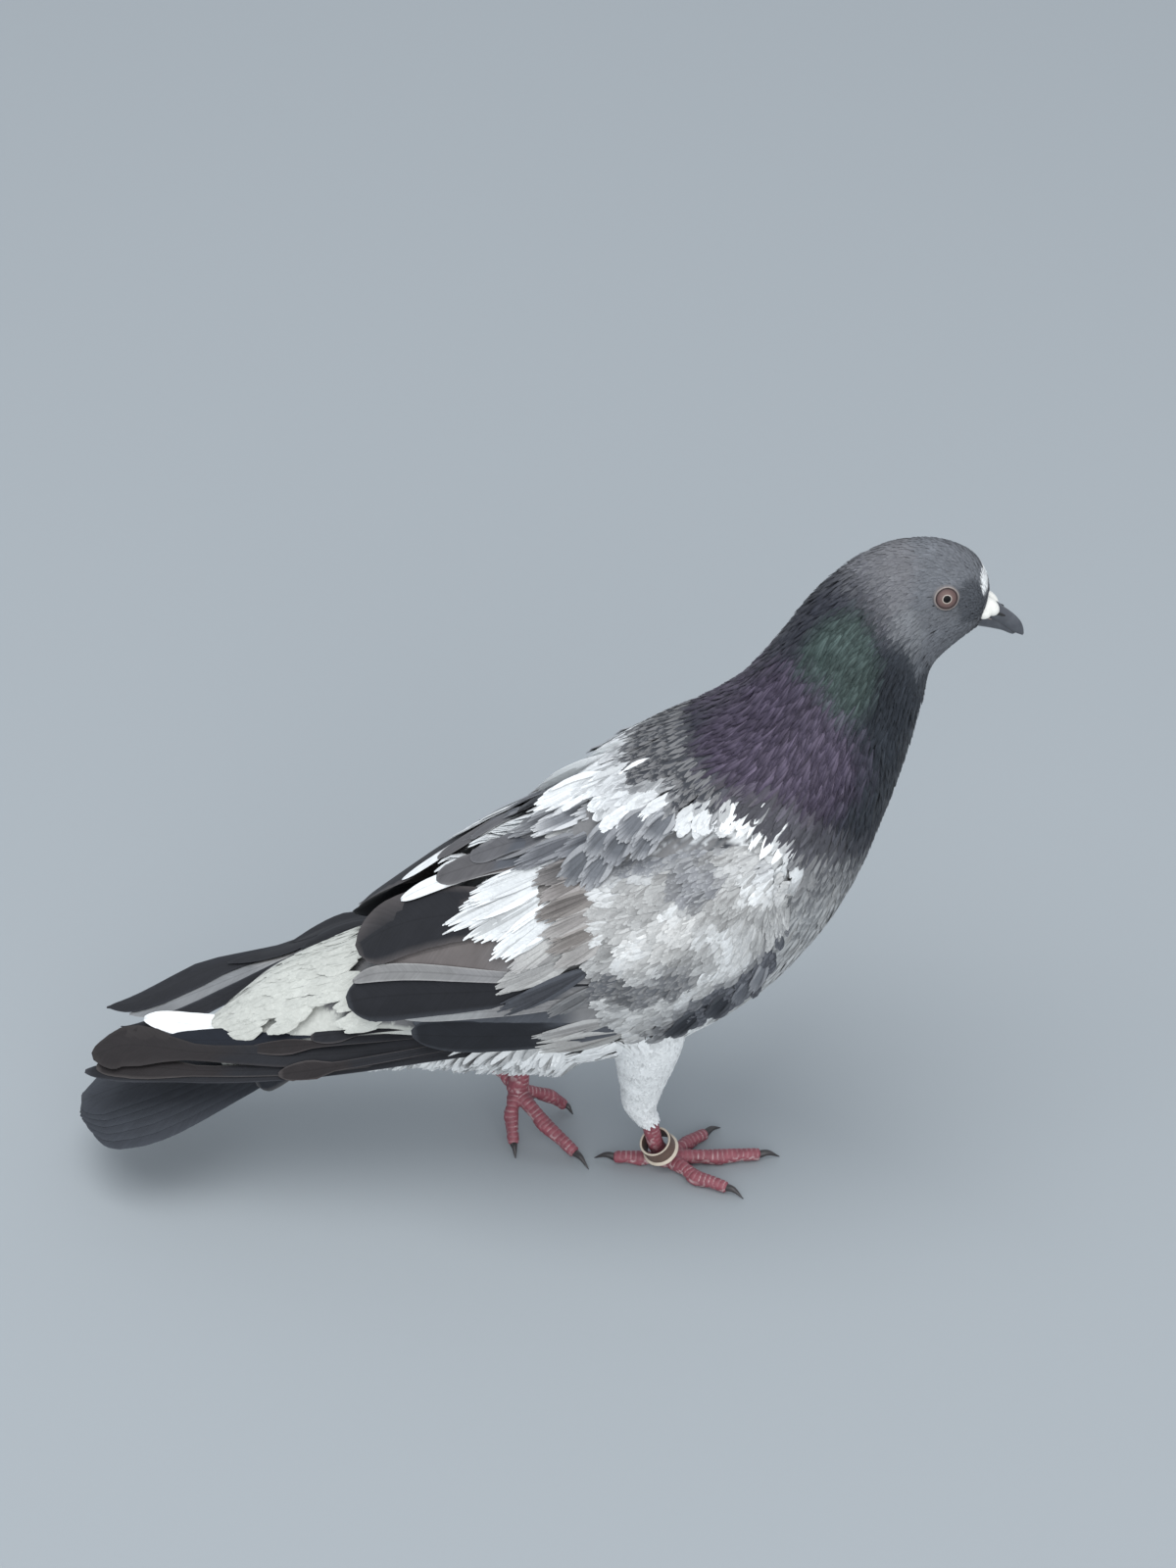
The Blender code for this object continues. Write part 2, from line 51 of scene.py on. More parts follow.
COVERT_END = (4.2, 4.8)  # the sections where the small coverts end, low and high on the wing
LAST_RING = 20  # the number of the body's last ring
ALL_ROUND = (-np.pi, np.pi)

# Rings of the body from the face to the tail root: the point on the back, the point underneath, both in the
# plane of symmetry, and half the width between them.
BODY_RINGS = (
    # back x, z      under x, z     half width
    (93.4, 231.6, 91.6, 221.2, 3.4),
    (93.6, 235.0, 88.4, 219.8, 6.6),
    (92.2, 240.2, 84.6, 217.0, 9.4),
    (88.0, 246.4, 80.8, 213.0, 11.5),
    (80.2, 250.4, 77.9, 208.8, 12.8),
    (71.0, 251.4, 76.6, 205.4, 13.6),
    (60.0, 248.8, 76.0, 201.4, 15.0),
    (48.5, 240.6, 75.6, 196.4, 17.0),
    (38.0, 228.4, 74.4, 190.4, 19.6),
    (28.0, 212.0, 72.6, 181.0, 23.0),
    (16.5, 195.6, 69.0, 165.5, 28.0),
    (3.0, 184.2, 64.0, 148.0, 33.5),
    (-12.0, 175.4, 57.0, 126.0, 38.5),
    (-28.0, 164.5, 45.5, 103.5, 41.5),
    (-43.0, 150.0, 27.0, 80.5, 42.5),
    (-60.0, 132.0, -2.0, 60.0, 40.0),
    (-80.0, 113.0, -38.0, 50.5, 34.5),
    (-100.0, 97.5, -72.0, 50.0, 27.0),
    (-119.0, 84.0, -100.0, 50.0, 23.5),
    (-138.0, 69.5, -124.0, 45.5, 20.0),
    (-158.0, 54.5, -150.0, 39.5, 12.0),
)
# The right wing's shield from its bend to its rear: upper edge, lower edge, outward bulge and thickness.
WING_SECTIONS = (
    (32.5, -40, 150, 33, -41.5, 138, 1.5, 3),
    (29, -34, 160, 32, -42, 125, 6, 7),
    (20, -26, 168, 26, -42.5, 109, 12, 10),
    (4, -17, 168.5, 14, -42, 96, 19, 12),
    (-18, -10, 161, -6, -40, 83, 23, 12),
    (-44, -5, 148, -34, -38, 75, 22, 10),
    (-68, -2, 132.5, -62, -35, 71, 18, 8),
    (-87, -2.4, 118.5, -84, -31, 69.5, 13, 6),
    (-102, -6, 105, -99, -28, 71.5, 8, 4.5),
    (-112.5, -13, 91, -109, -25, 76.5, 4, 2.6),
)
# The folded flight feathers behind each shield, in the same columns, with the inner edge first.
PRIMARIES_RIGHT = (
    (-66, -20, 80, -64, -30.5, 70, 1.5, 2.6),
    (-108, -17.5, 71, -107, -30, 60.5, 1.5, 2.6),
    (-134, -14, 62, -134, -29.5, 56, 1.5, 2.2),
    (-160, -6.5, 53.8, -160, -28, 52.4, 1.2, 1.8),
    (-184, -2.5, 52, -184, -20.5, 48.6, 0.7, 1.3),
    (-197, -8, 48.6, -197, -16, 47.6, 0.2, 1),
)
PRIMARIES_LEFT = (
    (-66, 20, 84, -64, 31, 78, 1.5, 2.6),
    (-108, 19, 76, -107, 34, 74.5, 1.5, 2.6),
    (-134, 15.5, 65.8, -134, 32.5, 63, 1.5, 2.2),
    (-160, 7.5, 55.4, -160, 30.5, 57.2, 1.2, 1.8),
    (-183, 4.5, 51.6, -183, 21.5, 51, 0.7, 1.3),
    (-195, 10, 50.2, -195, 18, 50, 0.2, 1),
)
# The closed tail: its root, length, slope down and turn to the left, and its sections.
TAIL_ROOT = np.array((-112.0, 0.0, 62.0))
TAIL_LENGTH = 99.0
TAIL_PITCH = math.radians(22.0)
TAIL_TURN = math.radians(2.5)
TAIL_SECTIONS = (
    # share of the length, half width, arch
    (0.0, 14, 7),
    (0.20, 19, 7),
    (0.45, 24, 6),
    (0.70, 27.4, 4.8),
    (0.82, 24.2, 3.6),
    (0.92, 18.8, 2.6),
    (1.0, 8.6, 1.2),
)
# The thighs' middle lines from the flank to the foot, with the radius at each point.
THIGH_RIGHT = (
    (-14, -22, 82, 16),
    (-11, -20.5, 71, 12.6),
    (-11.2, -18, 60, 10.6),
    (-12, -15, 49, 8.6),
    (-12.4, -13, 41, 7.2),
    (-13, -11.6, 33, 6.0),
    (-12, -10.8, 27.5, 4.6),
    (-10.4, -10.3, 23.6, 3.8),
)
THIGH_LEFT = (
    (-18, 21.5, 84, 17),
    (-27, 21, 73, 15.5),
    (-36, 19.5, 62, 14.5),
    (-46, 16.5, 52, 10.5),
    (-51, 14.5, 44.5, 6.8),
    (-52, 13.8, 40.5, 4.6),
)

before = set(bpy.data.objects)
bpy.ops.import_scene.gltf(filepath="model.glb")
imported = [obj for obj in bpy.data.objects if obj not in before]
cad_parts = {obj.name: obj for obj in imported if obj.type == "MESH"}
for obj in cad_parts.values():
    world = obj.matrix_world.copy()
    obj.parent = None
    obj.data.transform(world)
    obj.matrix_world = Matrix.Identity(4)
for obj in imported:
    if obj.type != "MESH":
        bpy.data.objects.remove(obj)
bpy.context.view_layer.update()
random = np.random.default_rng(7)


# ---------------------------------------------------------------- numbers and surfaces


def unit(vectors):
    """Vectors made one long."""
    return vectors / np.maximum(np.linalg.norm(vectors, axis=-1, keepdims=True), 1e-9)


def smoothly(value, low=0.0, high=1.0):
    """0 below low, 1 above high, and an even curve between them."""
    share = np.clip((value - low) / (high - low), 0, 1)
    return share * share * (3 - 2 * share)


def fading(value, low, high):
    """1 below low, 0 above high, and an even curve between them."""
    return smoothly(-value, -high, -low)


def blended(first, second, share):
    """Colours part of the way from first to second."""
    return first + (second - first) * share


def side_name(side):
    return "right" if side < 0 else "left"


def eye_place():
    """How far the solids were moved from the tables' origin, in millimetres."""
    low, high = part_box("eye_right")
    return np.array((low + high) / 2) / MM - EYE


SHIFT = eye_place()


def read_curve(rows, places):
    """Rows of numbers on a Catmull-Rom curve through the given rows, straight on past the last."""
    rows = np.array(rows, float)
    last = len(rows) - 1
    padded = np.vstack([2 * rows[0] - rows[1], rows, 2 * rows[-1] - rows[-2]])
    places = np.asarray(places, float)
    inside = np.clip(places, 0, last)
    first = np.minimum(inside.astype(int), last - 1)
    t = (inside - first)[..., None]
    before, a, b, after = (padded[first + number] for number in range(4))
    read = 0.5 * (
        2 * a
        + (b - before) * t
        + (2 * before - 5 * a + 4 * b - after) * t**2
        + (3 * a - before - 3 * b + after) * t**3
    )
    return read + (places - inside)[..., None] * (rows[-1] - rows[-2])


def read_course(rows, places):
    """The direction in which such a curve runs."""
    step = 0.001
    return read_curve(rows, places + step) - read_curve(rows, places - step)


def body_surface(place, angle):
    """Points on the coat of the body: place counts the rings, angle runs from the back to the left side."""
    back_x, back_z, under_x, under_z, half_width = np.moveaxis(read_curve(BODY_RINGS, place), -1, 0)
    level = np.zeros_like(back_x)
    centre = np.stack([(back_x + under_x) / 2, level, (back_z + under_z) / 2], -1)
    up = np.stack([(back_x - under_x) / 2, level, (back_z - under_z) / 2], -1)
    out = np.stack([level, np.maximum(half_width, 1.0), level], -1)
    return centre + up * np.cos(angle)[..., None] + out * np.sin(angle)[..., None]


def blade_surface(sections):
    """The outer face of a blade: along counts its sections, across runs from its lower to its upper edge."""

    def surface(along, across):
        rows, course = read_curve(sections, along), read_course(sections, along)
        upper, lower = rows[..., 0:3], rows[..., 3:6]
        outwards = unit(np.cross(course[..., 0:3] + course[..., 3:6], upper - lower))
        outwards = np.where(outwards[..., 2:3] < 0, -outwards, outwards)
        bulge = np.maximum(rows[..., 6], 0.2) * np.sin(np.pi * np.clip(across, 0, 1))
        return lower + (upper - lower) * across[..., None] + outwards * bulge[..., None]

    return surface


def wing_surface(side):
    """The outer face of one wing's shield."""
    surface = blade_surface(WING_SECTIONS)
    return lambda p, q: surface(p, q) * np.array((1.0, -side, 1.0))


def tail_surface(share, across):
    """The top of the closed tail: share runs down its length, across from its right edge to its left."""
    knots = [row[0] for row in TAIL_SECTIONS]
    rows = read_curve(TAIL_SECTIONS, np.interp(share, knots, range(len(knots))))
    turn = np.array(Matrix.Rotation(TAIL_TURN, 3, "Z"))
    cosine, sine = math.cos(TAIL_PITCH), math.sin(TAIL_PITCH)
    axes = ((-cosine, 0, -sine), (0.0, 1.0, 0.0), (-sine, 0, cosine))
    backwards, sideways, upwards = (turn @ np.array(axis) for axis in axes)
    return (
        TAIL_ROOT
        + backwards * TAIL_LENGTH * np.asarray(share)[..., None]
        + sideways * (rows[..., 1] * across)[..., None]
        - upwards * (rows[..., 2] * across**2)[..., None]
    )


def tube_surface(stations):
    """A round limb through centres with radii: along counts the stations, angle runs round it."""

    def surface(along, angle):
        rows = read_curve(stations, along)
        course = unit(read_course(stations, along)[..., :3])
        side = unit(np.array((0.0, 1.0, 0.0)) - course * course[..., 1:2])
        front = np.cross(course, side)
        radius = np.maximum(rows[..., 3], 0.5)[..., None]
        return rows[..., :3] + radius * (front * np.cos(angle)[..., None] + side * np.sin(angle)[..., None])

    return surface


def read_frames(surface, p, q, inside):
    """Points on a surface, its two directions with their lengths, and the normal away from a point inside."""
    step = 0.002
    here = surface(p, q)
    along = (surface(p + step, q) - surface(p - step, q)) / (2 * step)
    across = (surface(p, q + step) - surface(p, q - step)) / (2 * step)
    normal = unit(np.cross(along, across))
    outwards = np.sum(normal * (here - inside(here)), -1, keepdims=True)
    return here, along, across, np.where(outwards < 0, -normal, normal)


def body_middle(points):
    """The spine's place beside each point, inside the body."""
    back_x, back_z, under_x, under_z, half_width = np.array(BODY_RINGS).T
    centres = np.stack([(back_x + under_x) / 2, 0 * half_width, (back_z + under_z) / 2], -1)
    gaps = np.linalg.norm(points[..., None, :] - centres, axis=-1)
    near = np.exp(-((gaps - gaps.min(-1, keepdims=True)) ** 2) / 200.0)
    return (near[..., None] * centres).sum(-2) / near.sum(-1, keepdims=True)


def mottle(points, size, seed):
    """Smooth noise from 0 to 1 that changes over about size millimetres."""
    scaled = points / size
    cell = np.floor(scaled).astype(np.int64)
    t = smoothly(scaled - cell)
    total = np.zeros(points.shape[:-1])
    for corner in itertools.product((0, 1), repeat=3):
        mixed = (cell + np.array(corner)) @ np.array((73856093, 19349663, 83492791)) + seed * 7919
        mixed = (mixed ^ (mixed >> 13)) * 1274126177
        value = ((mixed ^ (mixed >> 16)) & 0xFFFF) / 65535.0
        total += np.prod(np.where(corner, t, 1 - t), -1) * value
    return total


# ---------------------------------------------------------------- colours and markings


def srgb(red, green, blue):
    """A display colour from 0 to 255 as linear light."""
    values = np.array((red, green, blue)) / 255.0
    return np.where(values <= 0.04045, values / 12.92, ((values + 0.055) / 1.055) ** 2.4)


WHITE = srgb(228, 230, 230)
SADDLE = srgb(222, 225, 226)
CREAM = srgb(186, 188, 182)
PALE = srgb(170, 170, 168)
GRIZZLE = srgb(160, 159, 158)
GREY = srgb(120, 120, 121)
UMBER = srgb(96, 91, 90)
SLATE = srgb(74, 77, 83)
INK = srgb(50, 53, 59)
BLACK = srgb(32, 33, 37)
BROWN = srgb(37, 34, 35)
NAVY = srgb(25, 29, 37)
HEAD_GREY = srgb(93, 95, 100)
NAPE = srgb(66, 67, 74)
GREEN = srgb(84, 99, 96)
PURPLE = srgb(97, 88, 105)
THROAT = srgb(64, 69, 76)

# Soft-edged markings, each laid over the ones before it: middle, reaches, colours of the vane and of the
# fringe, and strength. On the body the middle is a ring's number and degrees from the back.
BODY_MARKS = (
    (3.2, 60, 4.6, 160, HEAD_GREY, srgb(100, 103, 108), 1.0),
    (6.4, 25, 1.2, 60, srgb(92, 92, 97), srgb(106, 106, 109), 0.8),
    (6.0, 88, 0.8, 22, srgb(88, 91, 95), srgb(124, 126, 129), 0.7),
    (2.5, 66, 1.2, 30, srgb(60, 63, 68), srgb(68, 71, 76), 0.95),
    (4.3, 82, 1.1, 12, srgb(84, 86, 91), srgb(98, 100, 104), 0.7),
    (2.02, 20, 0.42, 24, WHITE, WHITE, 1.0),
    # From here to the purple the fringes are darker than the vanes: painted shade for the dark slits between
    # the hackles.
    (9.4, 90, 2.9, 170, NAPE, srgb(42, 44, 52), 1.0),
    (8.8, 128, 2.2, 44, THROAT, srgb(42, 46, 52), 0.95),
    (7.4, 168, 3.0, 44, THROAT, srgb(42, 46, 52), 0.95),
    (7.6, 108, 1.5, 34, srgb(58, 62, 69), srgb(40, 44, 50), 0.9),
    (8.3, 62, 1.3, 34, GREEN, srgb(52, 64, 62), 0.95),
    (10.1, 55, 1.35, 62, PURPLE, srgb(54, 48, 62), 0.95),
    (11.5, 92, 0.75, 46, srgb(74, 74, 79), srgb(106, 105, 107), 0.95),
    (12.3, 140, 0.9, 60, srgb(100, 102, 105), srgb(146, 147, 148), 0.8),
    (13.3, 140, 1.1, 70, srgb(128, 130, 132), srgb(174, 176, 176), 0.8),
    (12.6, 25, 0.5, 50, srgb(140, 142, 145), srgb(190, 192, 194), 0.55),
    (11.9, 20, 0.66, 66, srgb(60, 62, 67), srgb(116, 116, 117), 1.0),
    (12.5, 34, 0.55, 8, SADDLE, SADDLE, 0.75),
    (12.0, 56, 0.3, 10, SADDLE, SADDLE, 0.8),
    (11.58, 72, 0.22, 12, WHITE, WHITE, 1.0),
    (11.62, 88, 0.24, 12, WHITE, WHITE, 1.0),
    (11.85, 101, 0.24, 9, SADDLE, SADDLE, 0.9),
)


def soft_marks(marks, p, q, base_vane, base_fringe, seed):
    """The vane and fringe colours at surface places, from a list of soft-edged markings."""
    vane, fringe = (np.broadcast_to(base, p.shape + (3,)).copy() for base in (base_vane, base_fringe))
    chance = np.random.default_rng(seed).random(p.shape)
    for middle_p, middle_q, reach_p, reach_q, core, edge, strength in marks:
        reach = np.sqrt(((p - middle_p) / reach_p) ** 2 + ((q - middle_q) / reach_q) ** 2)
        share = (strength * fading(reach, 0.75, 1.25 + 0.3 * (chance - 0.5)))[..., None]
        vane += (core - vane) * share
        fringe += (edge - fringe) * share
    return vane, fringe


def body_colours(place, angle, seed=3):
    """Vane and fringe colours of the body at ring numbers and angles."""
    degrees = np.degrees(np.abs((angle + np.pi) % (2 * np.pi) - np.pi))
    above = np.where((place > 16.8)[..., None], CREAM, SADDLE)
    base = blended(WHITE, above, fading(degrees, 85, 105)[..., None])
    return soft_marks(BODY_MARKS, place, degrees, base, base * 0.97, seed)


# On a wing the middle is the section's number and the share of the height.
WING_MARKS = (
    (3.2, 0.60, 1.7, 0.26, srgb(146, 146, 145), srgb(168, 169, 168), 0.9),
    (3.9, 0.84, 1.4, 0.11, srgb(110, 113, 119), srgb(150, 152, 155), 0.9),
    (1.3, 1.0, 1.1, 0.09, WHITE, WHITE, 0.9),
    (2.9, 0.66, 0.45, 0.09, srgb(112, 114, 119), srgb(146, 148, 151), 0.85),
    (3.6, 0.48, 0.55, 0.1, srgb(186, 186, 184), srgb(208, 208, 206), 0.8),
    (4.0, 0.26, 0.35, 0.06, SLATE, GREY, 0.8),
    (1.5, 0.70, 0.35, 0.06, srgb(132, 134, 138), srgb(160, 162, 164), 0.7),
    (2.3, 0.04, 1.8, 0.14, srgb(70, 73, 79), srgb(96, 98, 104), 1.0),
    (3.5, 0.28, 0.3, 0.08, SLATE, GREY, 0.8),
    (4.5, 0.34, 0.4, 0.06, SLATE, GREY, 0.9),
    (4.85, 0.62, 0.42, 0.2, srgb(112, 107, 104), srgb(128, 124, 121), 0.9),
)


def wing_colours(along, across, seed=5):
    """Vane and fringe colours of a wing's shield."""
    return soft_marks(WING_MARKS, along, across, srgb(166, 167, 167), srgb(188, 189, 188), seed)


# ---------------------------------------------------------------- feathers


class Plumage:
    """Feathers of one kind, gathered as arrays and made into one mesh.

    Each is a thin closed vane: a row of points across its top at each share of its length, and one point
    under the middle of each row. Small feathers have patches on the coat's map, large ones strips."""

    def __init__(self, name, shares, columns=3, strips=0):
        self.name = name
        self.shares = np.array(shares)
        self.columns = columns
        self.strips = strips
        self.across = np.append(np.linspace(-1, 1, columns), 0.0)
        self.kept = {kind: [] for kind in ("points", "tints", "gloss", "vanes", "places", "normals")}

    def lay(self, spines, normals, halves, camber, thickness, ragged=0.0):
        """Small feathers' points, from their middle lines with normals and half widths."""
        count = len(spines)
        course = np.gradient(spines, axis=1)
        sideways = unit(np.cross(normals, course))
        notch = 1 - ragged * random.random((count, len(self.shares), self.columns + 1))
        reach = halves[..., None] * self.across * notch
        length = np.linalg.norm(np.diff(spines, axis=1), axis=-1).sum(1)
        slide = random.random((count, 1, self.columns + 1)) - 0.6
        slide = ragged * 0.7 * slide * length[:, None, None] * self.shares[:, None] ** 3
        drop = camber * np.abs(reach) * np.abs(self.across)
        drop[..., -1] = thickness
        self.reach = reach
        self.lie = unit(normals[:, :, None] + 0.15 * sideways[:, :, None] * self.across[:, None])
        return (
            spines[:, :, None]
            + sideways[:, :, None] * reach[..., None]
            + unit(course)[:, :, None] * slide[..., None]
            - normals[:, :, None] * drop[..., None]
        )

    def wrap(self, surface, inside, p, q, halves, rise, tilt, thickness=0.25):
        """One large feather's points, laid to a surface along a line of places on it."""
        here, along, across, normal = read_frames(surface, p, q, inside)
        sideways = unit(np.cross(normal, np.gradient(here, axis=0)))
        ee, ff, gg = (np.sum(a * b, -1) for a, b in ((along, along), (along, across), (across, across)))
        side_p, side_q = np.sum(sideways * along, -1), np.sum(sideways * across, -1)
        area = np.maximum(ee * gg - ff**2, 1.0)
        towards_q = ee * side_q - ff * side_p
        reach = halves[:, None] * self.across
        far_p = p[:, None] + ((gg * side_p - ff * side_q) / area)[:, None] * reach
        far_q = q[:, None] + (towards_q / area)[:, None] * reach
        points, _, _, normals = read_frames(surface, far_p, far_q, inside)
        lowered = np.sign(towards_q)[:, None] * self.across * smoothly(halves / halves.max())[:, None]
        drop = 0.03 * np.abs(reach) * np.abs(self.across) + tilt * lowered
        drop[:, -1] += thickness
        self.reach = reach[None]
        self.lie = np.zeros((1, *points.shape))
        return (points + normals * (rise[:, None] - drop)[..., None])[None]

    def add(self, points, tints, gloss, places):
        """Keeps feathers with their colours at each point, gloss from 0 to 1, and roots on the coat's map."""
        lengths = np.linalg.norm(np.diff(points[:, :, self.columns // 2], axis=1), axis=-1)
        along = np.concatenate([np.zeros((len(points), 1)), np.cumsum(lengths, 1)], 1)
        along = along + 400 * random.random((len(points), 1))
        vanes = np.stack([self.reach, np.broadcast_to(along[..., None], self.reach.shape)], -1) / 10
        gloss = np.broadcast_to(gloss, points.shape[:-1])
        parts = (points, np.clip(tints, 0, 1), gloss, vanes, places, self.lie)
        for kept, part in zip(self.kept.values(), parts):
            kept.append(part)

    def gathered(self, kind, width):
        """All that was kept of one kind, as rows of some width."""
        return np.concatenate([part.reshape(-1, width) for part in self.kept[kind]])

    def build(self, finish, slot):
        """The joined mesh, with its maps and colours, riding on the body."""
        points = np.concatenate(self.kept["points"])
        count, rows, ring = points.shape[:3]
        sides = (rows - 1) * ring
        row, spot = np.meshgrid(np.arange(rows - 1), np.arange(ring), indexing="ij")
        after = (spot + 1) % ring
        quads = (row * ring + spot, (row + 1) * ring + spot, (row + 1) * ring + after, row * ring + after)
        one = np.concatenate([np.stack(quads, -1).ravel(), np.arange(ring), sides + np.arange(ring)[::-1]])
        loops = (np.arange(count)[:, None] * rows * ring + one).ravel()
        sizes = np.tile([4] * sides + [ring, ring], count)
        mesh = bpy.data.meshes.new(self.name)
        mesh.vertices.add(count * rows * ring)
        move_points(mesh, points)
        mesh.loops.add(len(loops))
        mesh.loops.foreach_set("vertex_index", loops.astype(np.int32))
        mesh.polygons.add(len(sizes))
        mesh.polygons.foreach_set("loop_start", (np.cumsum(sizes) - sizes).astype(np.int32))
        mesh.update(calc_edges=True)
        paint_points(mesh, self.gathered("tints", 3))
        store_values(mesh, "gloss", self.gathered("gloss", 1))
        face = np.repeat(np.arange(len(sizes)) % (sides + 2), sizes)
        cap = face >= sides
        under = ~cap & (face % ring >= self.columns - 1)
        self.map_vanes(mesh, loops, cap, under)
        self.crease(mesh)
        # The tops of the vanes are shaded by the lie of the coat, so that they blend as soft feathers do.
        mesh.polygons.foreach_set("use_smooth", np.ones(len(mesh.polygons), bool))
        normals = self.gathered("normals", 3)[loops]
        mesh.normals_split_custom_set(np.where((cap | under)[:, None], 0.0, normals))
        return finished(self.name, mesh, finish)

    def map_vanes(self, mesh, loops, cap, under):
        """A map of each vane in centimetres from its shaft, and the coat's map."""
        store_map(mesh, "Vane", self.gathered("vanes", 2)[loops])
        rows, ring = len(self.shares), self.columns + 1
        feather, row, spot = loops // (ring * rows), (loops // ring) % rows, loops % ring
        below = np.where(spot == self.columns, 0.85, np.where(spot == 0, 1.0, 0.72))
        local_u = np.where(under, below, np.minimum(0.7 * spot / (self.columns - 1), 0.7))
        local_v = self.shares[row] + np.where(cap & (spot == self.columns), 0.03 - 0.06 * (row > 0), 0)
        if self.strips:
            where = np.stack([(feather + 0.05 + 0.9 * local_u) / self.strips, 0.02 + 0.96 * local_v], -1)
        else:
            where = self.gathered("places", 2)[feather]
            where = where + BAKE_PATCH * (np.stack([local_u, local_v], -1) - 0.5)
        store_map(mesh, "OFBake", where)
        mesh.uv_layers.active = mesh.uv_layers["Vane"]

    def crease(self, mesh):
        """Marks the vanes' rims sharp, so that their tops and undersides shade apart."""
        ends = np.zeros(len(mesh.edges) * 2, np.int32)
        mesh.edges.foreach_get("vertices", ends)
        one, other = (ends.reshape(-1, 2) % (self.columns + 1)).T
        rim = (one == other) & ((one == 0) | (one == self.columns - 1))
        sharp = mesh.attributes.get("sharp_edge") or mesh.attributes.new("sharp_edge", "BOOLEAN", "EDGE")
        sharp.data.foreach_set("value", rim)


def move_points(mesh, points):
    """Puts a mesh's points at places in the tables' millimetres."""
    mesh.vertices.foreach_set("co", ((points + SHIFT) * MM).astype(np.float32).ravel())


def store_values(mesh, name, values):
    """Stores a number at each point of a mesh."""
    mesh.attributes.new(name, "FLOAT", "POINT").data.foreach_set("value", values.astype(np.float32).ravel())


def store_map(mesh, name, places):
    """Adds a map, with a place for each corner of each face."""
    mesh.uv_layers.new(name=name).data.foreach_set("uv", places.astype(np.float32).ravel())


def paint_points(mesh, tints):
    """Stores a linear colour at each point of a mesh."""
    tints = np.concatenate([tints, np.ones((len(tints), 1))], 1).astype(np.float32)
    mesh.attributes.new("tint", "FLOAT_COLOR", "POINT").data.foreach_set("color", tints.ravel())


def corners(mesh):
    """The number of the point at each corner of each face."""
    numbers = np.zeros(len(mesh.loops), np.int32)
    mesh.loops.foreach_get("vertex_index", numbers)
    return numbers


def joined(parts):
    """Several bmeshes as one."""
    whole = bmesh.new()
    for part in parts:
        piece = mesh_from(part, "part")
        whole.from_mesh(piece)
        bpy.data.meshes.remove(piece)
    return whole


def finished(name, mesh, finish):
    """A smooth-shaded piece from a mesh, with its material, riding on the body."""
    mesh.materials.append(finish)
    mesh.polygons.foreach_set("use_smooth", np.ones(len(mesh.polygons), bool))
    made = bpy.data.objects.new(name, mesh)
    bpy.context.scene.collection.objects.link(made)
    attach(made, "root")
    return made


def rounded_vane(shares, widest=0.62, root=0.42, point=0.16, start=-0.1, blunt=0.5):
    """Half widths down a feather whose end is round or pointed, as shares of its greatest."""
    shares = np.asarray(shares)
    rise = root + (1 - root) * smoothly(shares, start, widest)
    fall = np.clip(1 - (np.clip(shares - widest, 0, 1) / (1 - widest)) ** 2, 0, 1) ** blunt
    return rise * np.maximum(fall, point)


def comb(surface, p, q, heading, length, shares, inside, lift_root, lift_tip):
    """Walks each feather's middle line over a surface from its root, between two headings and two lifts, and
    tells where it ends."""
    first, last = heading
    spines, normals = [], []
    walked = 0.0
    for share in shares:
        step = (share - walked) * length
        walked = share
        turned = first + (last - first) * share
        _, along, across, _ = read_frames(surface, p, q, inside)
        p = p + np.cos(turned) * step / np.maximum(np.linalg.norm(along, axis=-1), 0.3)
        q = q + np.sin(turned) * step / np.maximum(np.linalg.norm(across, axis=-1), 0.3)
        here, _, _, normal = read_frames(surface, p, q, inside)
        lift = lift_root + (lift_tip - lift_root) * share**1.4
        spines.append(here + normal * lift[:, None])
        normals.append(normal)
    return np.stack(spines, 1), np.stack(normals, 1), (p, q)


def seen_part(roots, ends):
    """The part of each feather that shows, where its colours are read."""
    return tuple(root + 0.75 * (end - root) for root, end in zip(roots, ends))


def rolled(spines, normals, angle):
    """Normals turned about each feather's middle line."""
    course = unit(np.gradient(spines, axis=1))
    sideways = np.cross(normals, course)
    angle = angle[:, None, None]
    return unit(normals * np.cos(angle) + sideways * np.sin(angle))


def varied(values, spread):
    """Sizes that differ at random by up to a spread to either side."""
    return values * (1 - spread + 2 * spread * random.random(len(values)))


def grained(points, seed, fine, coarse, share):
    """Noise about zero in two sizes, for the colours' grain."""
    return share * mottle(points, fine, seed) + (1 - share) * mottle(points, coarse, seed + 1) - 0.5


